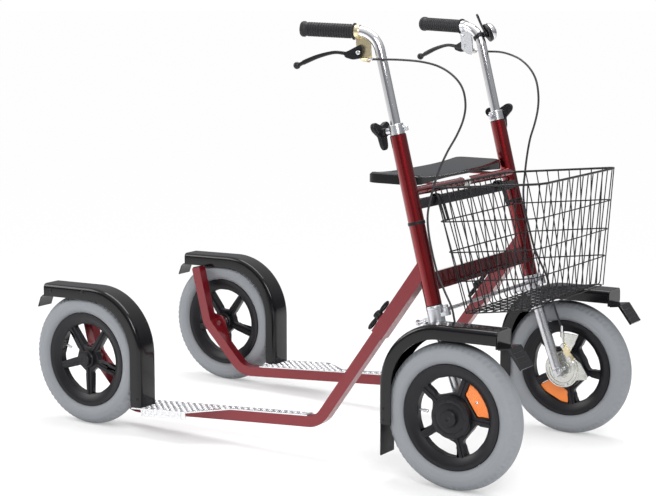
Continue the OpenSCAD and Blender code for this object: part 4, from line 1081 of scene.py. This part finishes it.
board_out, board_in = wheel_y + tyre_w / 2 + 0.0045, column_y - rail_w / 2
board_from, board_wide, board_narrow = rear_x + 0.149, rear_x + 0.310, rear_x + 0.392
board_to = corner_x - 0.055 * math.tan((rail_rise - rail_slope) / 2) - 0.001


def inside_board(x, y, margin=0.006):
    if not (board_from + margin < x < board_to - margin and board_in + margin < y < board_out - margin):
        return False
    if x > board_wide:
        taper = min(1.0, (x - board_wide) / (board_narrow - board_wide))
        limit = board_out + (column_y + rail_w / 2 - board_out) * taper
        return y < limit - margin
    return True


def lozenge(x, y, angle, z):
    a, b, high = 0.0056, 0.0015, 0.0009
    c, s = math.cos(angle), math.sin(angle)
    low, up = [], []
    for k in range(8):
        t = 2 * math.pi * k / 8
        px, py = a * math.cos(t), b * math.sin(t)
        low.append((x + px * c - py * s, y + px * s + py * c, z - 0.0002))
        px, py = 0.72 * px, 0.45 * py
        up.append((x + px * c - py * s, y + px * s + py * c, z + high))
    return skin([low, up])


studs = []
pitch = 0.0088
for i in range(60):
    for j in range(14):
        x, y = board_from + 0.006 + i * pitch, board_in + 0.006 + j * pitch
        if inside_board(x, y, 0.0055):
            studs.append(lozenge(x, y, math.radians(45 if (i + j) % 2 else -45), 0.003))
edge_from = rear_x + 0.178 + 0.006
for i in range(16):
    for j in range(2):
        x, z = edge_from + i * pitch, -0.010 + j * 0.0072
        if x < board_wide - 0.006:
            stud = lozenge(0, 0, math.radians(45 if (i + j) % 2 else -45), 0)
            studs.append(moved(stud, shift(x, board_out, z) @ turn(-90, "X")))
both_sides("tread studs", moved(joined(*studs), RAIL), tread_alloy, "rail_", sharp=50)
rivets = []
for x in (board_from + 0.19, board_to - 0.18, board_to - 0.06, board_to - 0.012):
    rivets.append(moved(dome_bolt(0.0042, 0.0018), shift(x, column_y, 0.003)))
both_sides("board rivets", moved(joined(*rivets), RAIL), tread_alloy, "rail_", sharp=50)
plug = block((0.0215, 0.0215, 0.004), (0, 0, 0), 0.0012)
rail_top = Vector((rear_x - 0.057, column_y, axle_z + 0.146))
rail_mid = Vector((rear_x - 0.021, column_y, axle_z + 0.002))
along = (rail_top - rail_mid).normalized()
tilt = Matrix(((along.z, 0, along.x, rail_top.x), (0, 1, 0, rail_top.y),
               (-along.x, 0, along.z, rail_top.z), (0, 0, 0, 1)))
both_sides("rail plug", moved(plug, tilt @ shift(0, 0, 0.0008)), black_mould, "rail_")

# ------------------------------------------------------------------ fork, brake and hub details


crown_side = softened([(0.0136, -0.0022), (0.0182, -0.0022), (0.0186, -0.006), (0.0182, -0.010),
                       (0.0181, -0.0102)], 0.001, 1) + [(0.0136, -0.0102)]
crown = [moved(turned(crown_side, 56), COLUMN),
         moved(turned([(0.0175, -0.0435), (0.0187, -0.0445), (0.0187, -0.0470), (0.0175, -0.0480)], 56), COLUMN),
         moved(hex_nut(0.011, 0.005), COLUMN @ shift(0.028, 0, -0.0092)),
         moved(hex_nut(0.012, 0.006), COLUMN @ shift(-0.0445, 0, -0.0328) @ turn(-90, "Y")),
         moved(dome_bolt(0.0052, 0.003), COLUMN @ shift(-0.024, 0.0068, -0.033) @ turn(-90, "X")),
         moved(dome_bolt(0.0052, 0.003), COLUMN @ shift(-0.024, -0.0068, -0.033) @ turn(90, "X"))]
both_sides("crown trim", joined(*crown), zinc_plate, "column_")
lug_z = head_z - 0.046
lug_x = head_x - (lug_z - head_z) * math.tan(lean)
hub_trim = [moved(dome_bolt(0.0068, 0.003),
                  shift(lug_x, column_y - 0.0005, lug_z) @ turn(90, "X") @ shift(0, 0, 0.016)),
            moved(turned([(0.0062, 0.0), (0.0105, 0.0), (0.0105, 0.0015), (0.0062, 0.0015)], 36),
                  shift(front_x, column_y - 0.0126, axle_z) @ turn(90, "X")),
            moved(lathe([(0.0060, 0.0), (0.0060, 0.008), (0.0050, 0.0092)], 24),
                  shift(front_x, column_y - 0.0160, axle_z) @ turn(90, "X"))]
both_sides("axle trim", joined(*hub_trim), zinc_plate, "column_")
plate_in = column_y + 0.0125 + 0.0025
stamped = []
for radius, high in ((0.0405, 0.0010), (0.0335, 0.0014), (0.0180, 0.0016)):
    ring = [(radius - 0.0022, 0.0003), (radius - 0.0010, high), (radius + 0.0010, high), (radius + 0.0022, 0.0003),
            (radius + 0.0022, -0.001), (radius - 0.0022, -0.001)]
    stamped.append(moved(turned(ring, 72), shift(front_x, plate_in, axle_z) @ turn(90, "X")))
for x, z in ((0.056, -0.012), (-0.030, 0.006), (0.012, -0.034)):
    stamped.append(moved(hex_nut(0.008, 0.003), shift(front_x + x, plate_in, axle_z + z) @ turn(90, "X")))
both_sides("brake plate trim", joined(*stamped), tinted_zinc, "column_")
bolt = moved(hex_nut(0.010, 0.0035), shift(front_x + 0.024, plate_in - 0.0098, axle_z + 0.030) @ turn(90, "X"))
both_sides("arm nut", bolt, zinc_plate, "column_")

# ------------------------------------------------------------------ bell


def bell_shapes():
    base_x = handle_d / 2 + 0.009
    base = [lathe([(0.0068, handle_d / 2 - 0.0005), (0.0068, base_x)], 28),
            lathe([(0.0205, base_x), (0.0218, base_x + 0.001), (0.0220, base_x + 0.0035), (0.0210, base_x + 0.0065),
                   (0.0204, base_x + 0.0079), (0.0001, base_x + 0.0079)], 56),
            moved(collar(0.0112, 0.0134, -0.0045, 0.0045, 0.0009, 2, 44),
                  turn(90, "Y")),
            block((0.008, 0.006, 0.009), (0, 0.0155, -0.001), 0.0012),
            moved(dome_bolt(0.0028, 0.0015), shift(0, 0.0155, -0.0055) @ turn(180, "X"))]
    foot = base_x + 0.0083
    rows = []
    for k in range(14):
        a = math.radians(90 * k / 13)
        rows.append((0.0208 * math.cos(a) + 1e-5, foot + 0.0135 * math.sin(a)))
    dome = joined(lathe([(0.0214, foot), (0.0214, foot + 0.0012)] + [(r, z + 0.0012) for r, z in rows[1:]], 64),
                  moved(dome_bolt(0.0030, 0.0014), shift(0, 0, foot + 0.0146)))
    return joined(*base), dome


bell_base, bell_dome = bell_shapes()
piece("bell base", moved(bell_base, BELL), black_mould, "handle_l", ["bell"])
piece("bell dome", moved(bell_dome, BELL), bright_chrome, "handle_l", ["bell"])
lever_z = handle_d / 2 + 0.009 - 0.0003 - 0.004
path = [(0.0, 0.0), (0.016, 0.0015), (0.030, 0.004), (0.044, 0.010)]
blade = []
for sign in (1, -1):
    edge = []
    for i, (x, y) in enumerate(path):
        half = (0.0062, 0.0046, 0.0042, 0.0044)[i]
        edge.append((x - sign * half * 0.22, y + sign * half))
    blade.append(edge)
tip = [(0.044 + 0.0056 * math.cos(math.radians(a)), 0.010 + 0.0056 * math.sin(math.radians(a)))
       for a in range(-60, 121, 20)]
outline = blade[1][:3] + tip + blade[0][2::-1]
outline += [(0.0109 * math.cos(math.radians(a)), 0.0109 * math.sin(math.radians(a))) for a in range(60, 301, 15)]
bell_arm = moved(outline_solid([outline, circle(0.0071, 32)], 0.0038, 0.0008, 2), shift(0, 0, lever_z + 0.002))
piece("bell thumb lever", moved(bell_arm, BELL), black_mould, "bell_lever", ["bell_lever"])

# ------------------------------------------------------------------ floor and light

floor_mesh = bpy.data.meshes.new("floor")
floor_size = 160
floor_mesh.from_pydata([(x * floor_size, y * floor_size, 0.0) for x, y in ((-1, -1), (1, -1), (1, 1), (-1, 1))], [],
                       [(0, 1, 2, 3)])
floor_finish = bpy.data.materials.new("pale floor")
floor_finish.use_nodes = True
floor_tree = floor_finish.node_tree
floor_body = floor_tree.nodes["Principled BSDF"]
fill(floor_body, {"Base Color": (0.88, 0.88, 0.88, 1), "Roughness": 0.75})
glow = add_node(floor_tree, "Emission", {"Color": (1, 1, 1, 1)})
floor_place = add_node(floor_tree, "TexCoord")
distance = add_node(floor_tree, "VectorMath", operation="LENGTH")
fade = add_node(floor_tree, "MapRange", {"From Min": 0.7, "From Max": 2.6, "To Min": 0.35, "To Max": 0.97})
seen = add_node(floor_tree, "LightPath")
share = add_node(floor_tree, "Math", operation="MULTIPLY")
blend_floor = add_node(floor_tree, "MixShader")
link(floor_tree, floor_place, "Object", distance, 0)
link(floor_tree, distance, "Value", fade, "Value")
link(floor_tree, fade, "Result", share, 0)
link(floor_tree, seen, "Is Camera Ray", share, 1)
link(floor_tree, share, 0, blend_floor, "Fac")
link(floor_tree, floor_body, 0, blend_floor, 1)
link(floor_tree, glow, 0, blend_floor, 2)
floor_tree.links.new(blend_floor.outputs[0], floor_tree.nodes["Material Output"].inputs["Surface"])
floor_mesh.materials.append(floor_finish)
floor = bpy.data.objects.new("floor", floor_mesh)
bpy.context.scene.collection.objects.link(floor)

world = bpy.data.worlds.new("studio")
bpy.context.scene.world = world
world.use_nodes = True
sky = world.node_tree
background = sky.nodes["Background"]
place = add_node(sky, "TexCoord")
split = add_node(sky, "SeparateXYZ")
scaled = add_node(sky, "Math", {1: 0.5, 2: 0.5}, operation="MULTIPLY_ADD")
ramp = add_node(sky, "ValToRGB")
ramp.color_ramp.elements[0].position = 0.40
ramp.color_ramp.elements[0].color = (0.06, 0.06, 0.065, 1)
ramp.color_ramp.elements[1].position = 0.95
ramp.color_ramp.elements[1].color = (1.0, 1.0, 1.0, 1)
middle_stop = ramp.color_ramp.elements.new(0.58)
middle_stop.color = (0.26, 0.265, 0.28, 1)
link(sky, place, "Generated", split, 0)
link(sky, split, "Z", scaled, 0)
link(sky, scaled, 0, ramp, "Fac")
link(sky, ramp, "Color", background, "Color")
background.inputs["Strength"].default_value = 0.95
shown = add_node(sky, "Background", {"Color": (1, 1, 1, 1)})
to_camera = add_node(sky, "LightPath")
blend_sky = add_node(sky, "MixShader")
link(sky, to_camera, "Is Camera Ray", blend_sky, "Fac")
link(sky, background, 0, blend_sky, 1)
link(sky, shown, 0, blend_sky, 2)
sky.links.new(blend_sky.outputs[0], sky.nodes["World Output"].inputs["Surface"])


def lamp(name, place, aim, size, power):
    data = bpy.data.lights.new(name, "AREA")
    data.shape = "RECTANGLE"
    data.size, data.size_y = size
    data.energy = power
    thing = bpy.data.objects.new(name, data)
    bpy.context.scene.collection.objects.link(thing)
    thing.location = place
    thing.rotation_euler = (Vector(aim) - Vector(place)).to_track_quat("-Z", "Y").to_euler()


lamp("key light", (2.4, -2.6, 2.6), (0.1, 0, 0.4), (1.6, 1.6), 84)
lamp("fill light", (-2.6, -1.6, 1.8), (0.0, 0, 0.4), (2.0, 1.4), 44)
lamp("top light", (0.0, 0.6, 3.0), (0.1, 0, 0.3), (2.6, 1.6), 62)
bpy.context.scene.view_settings.view_transform = "Standard"
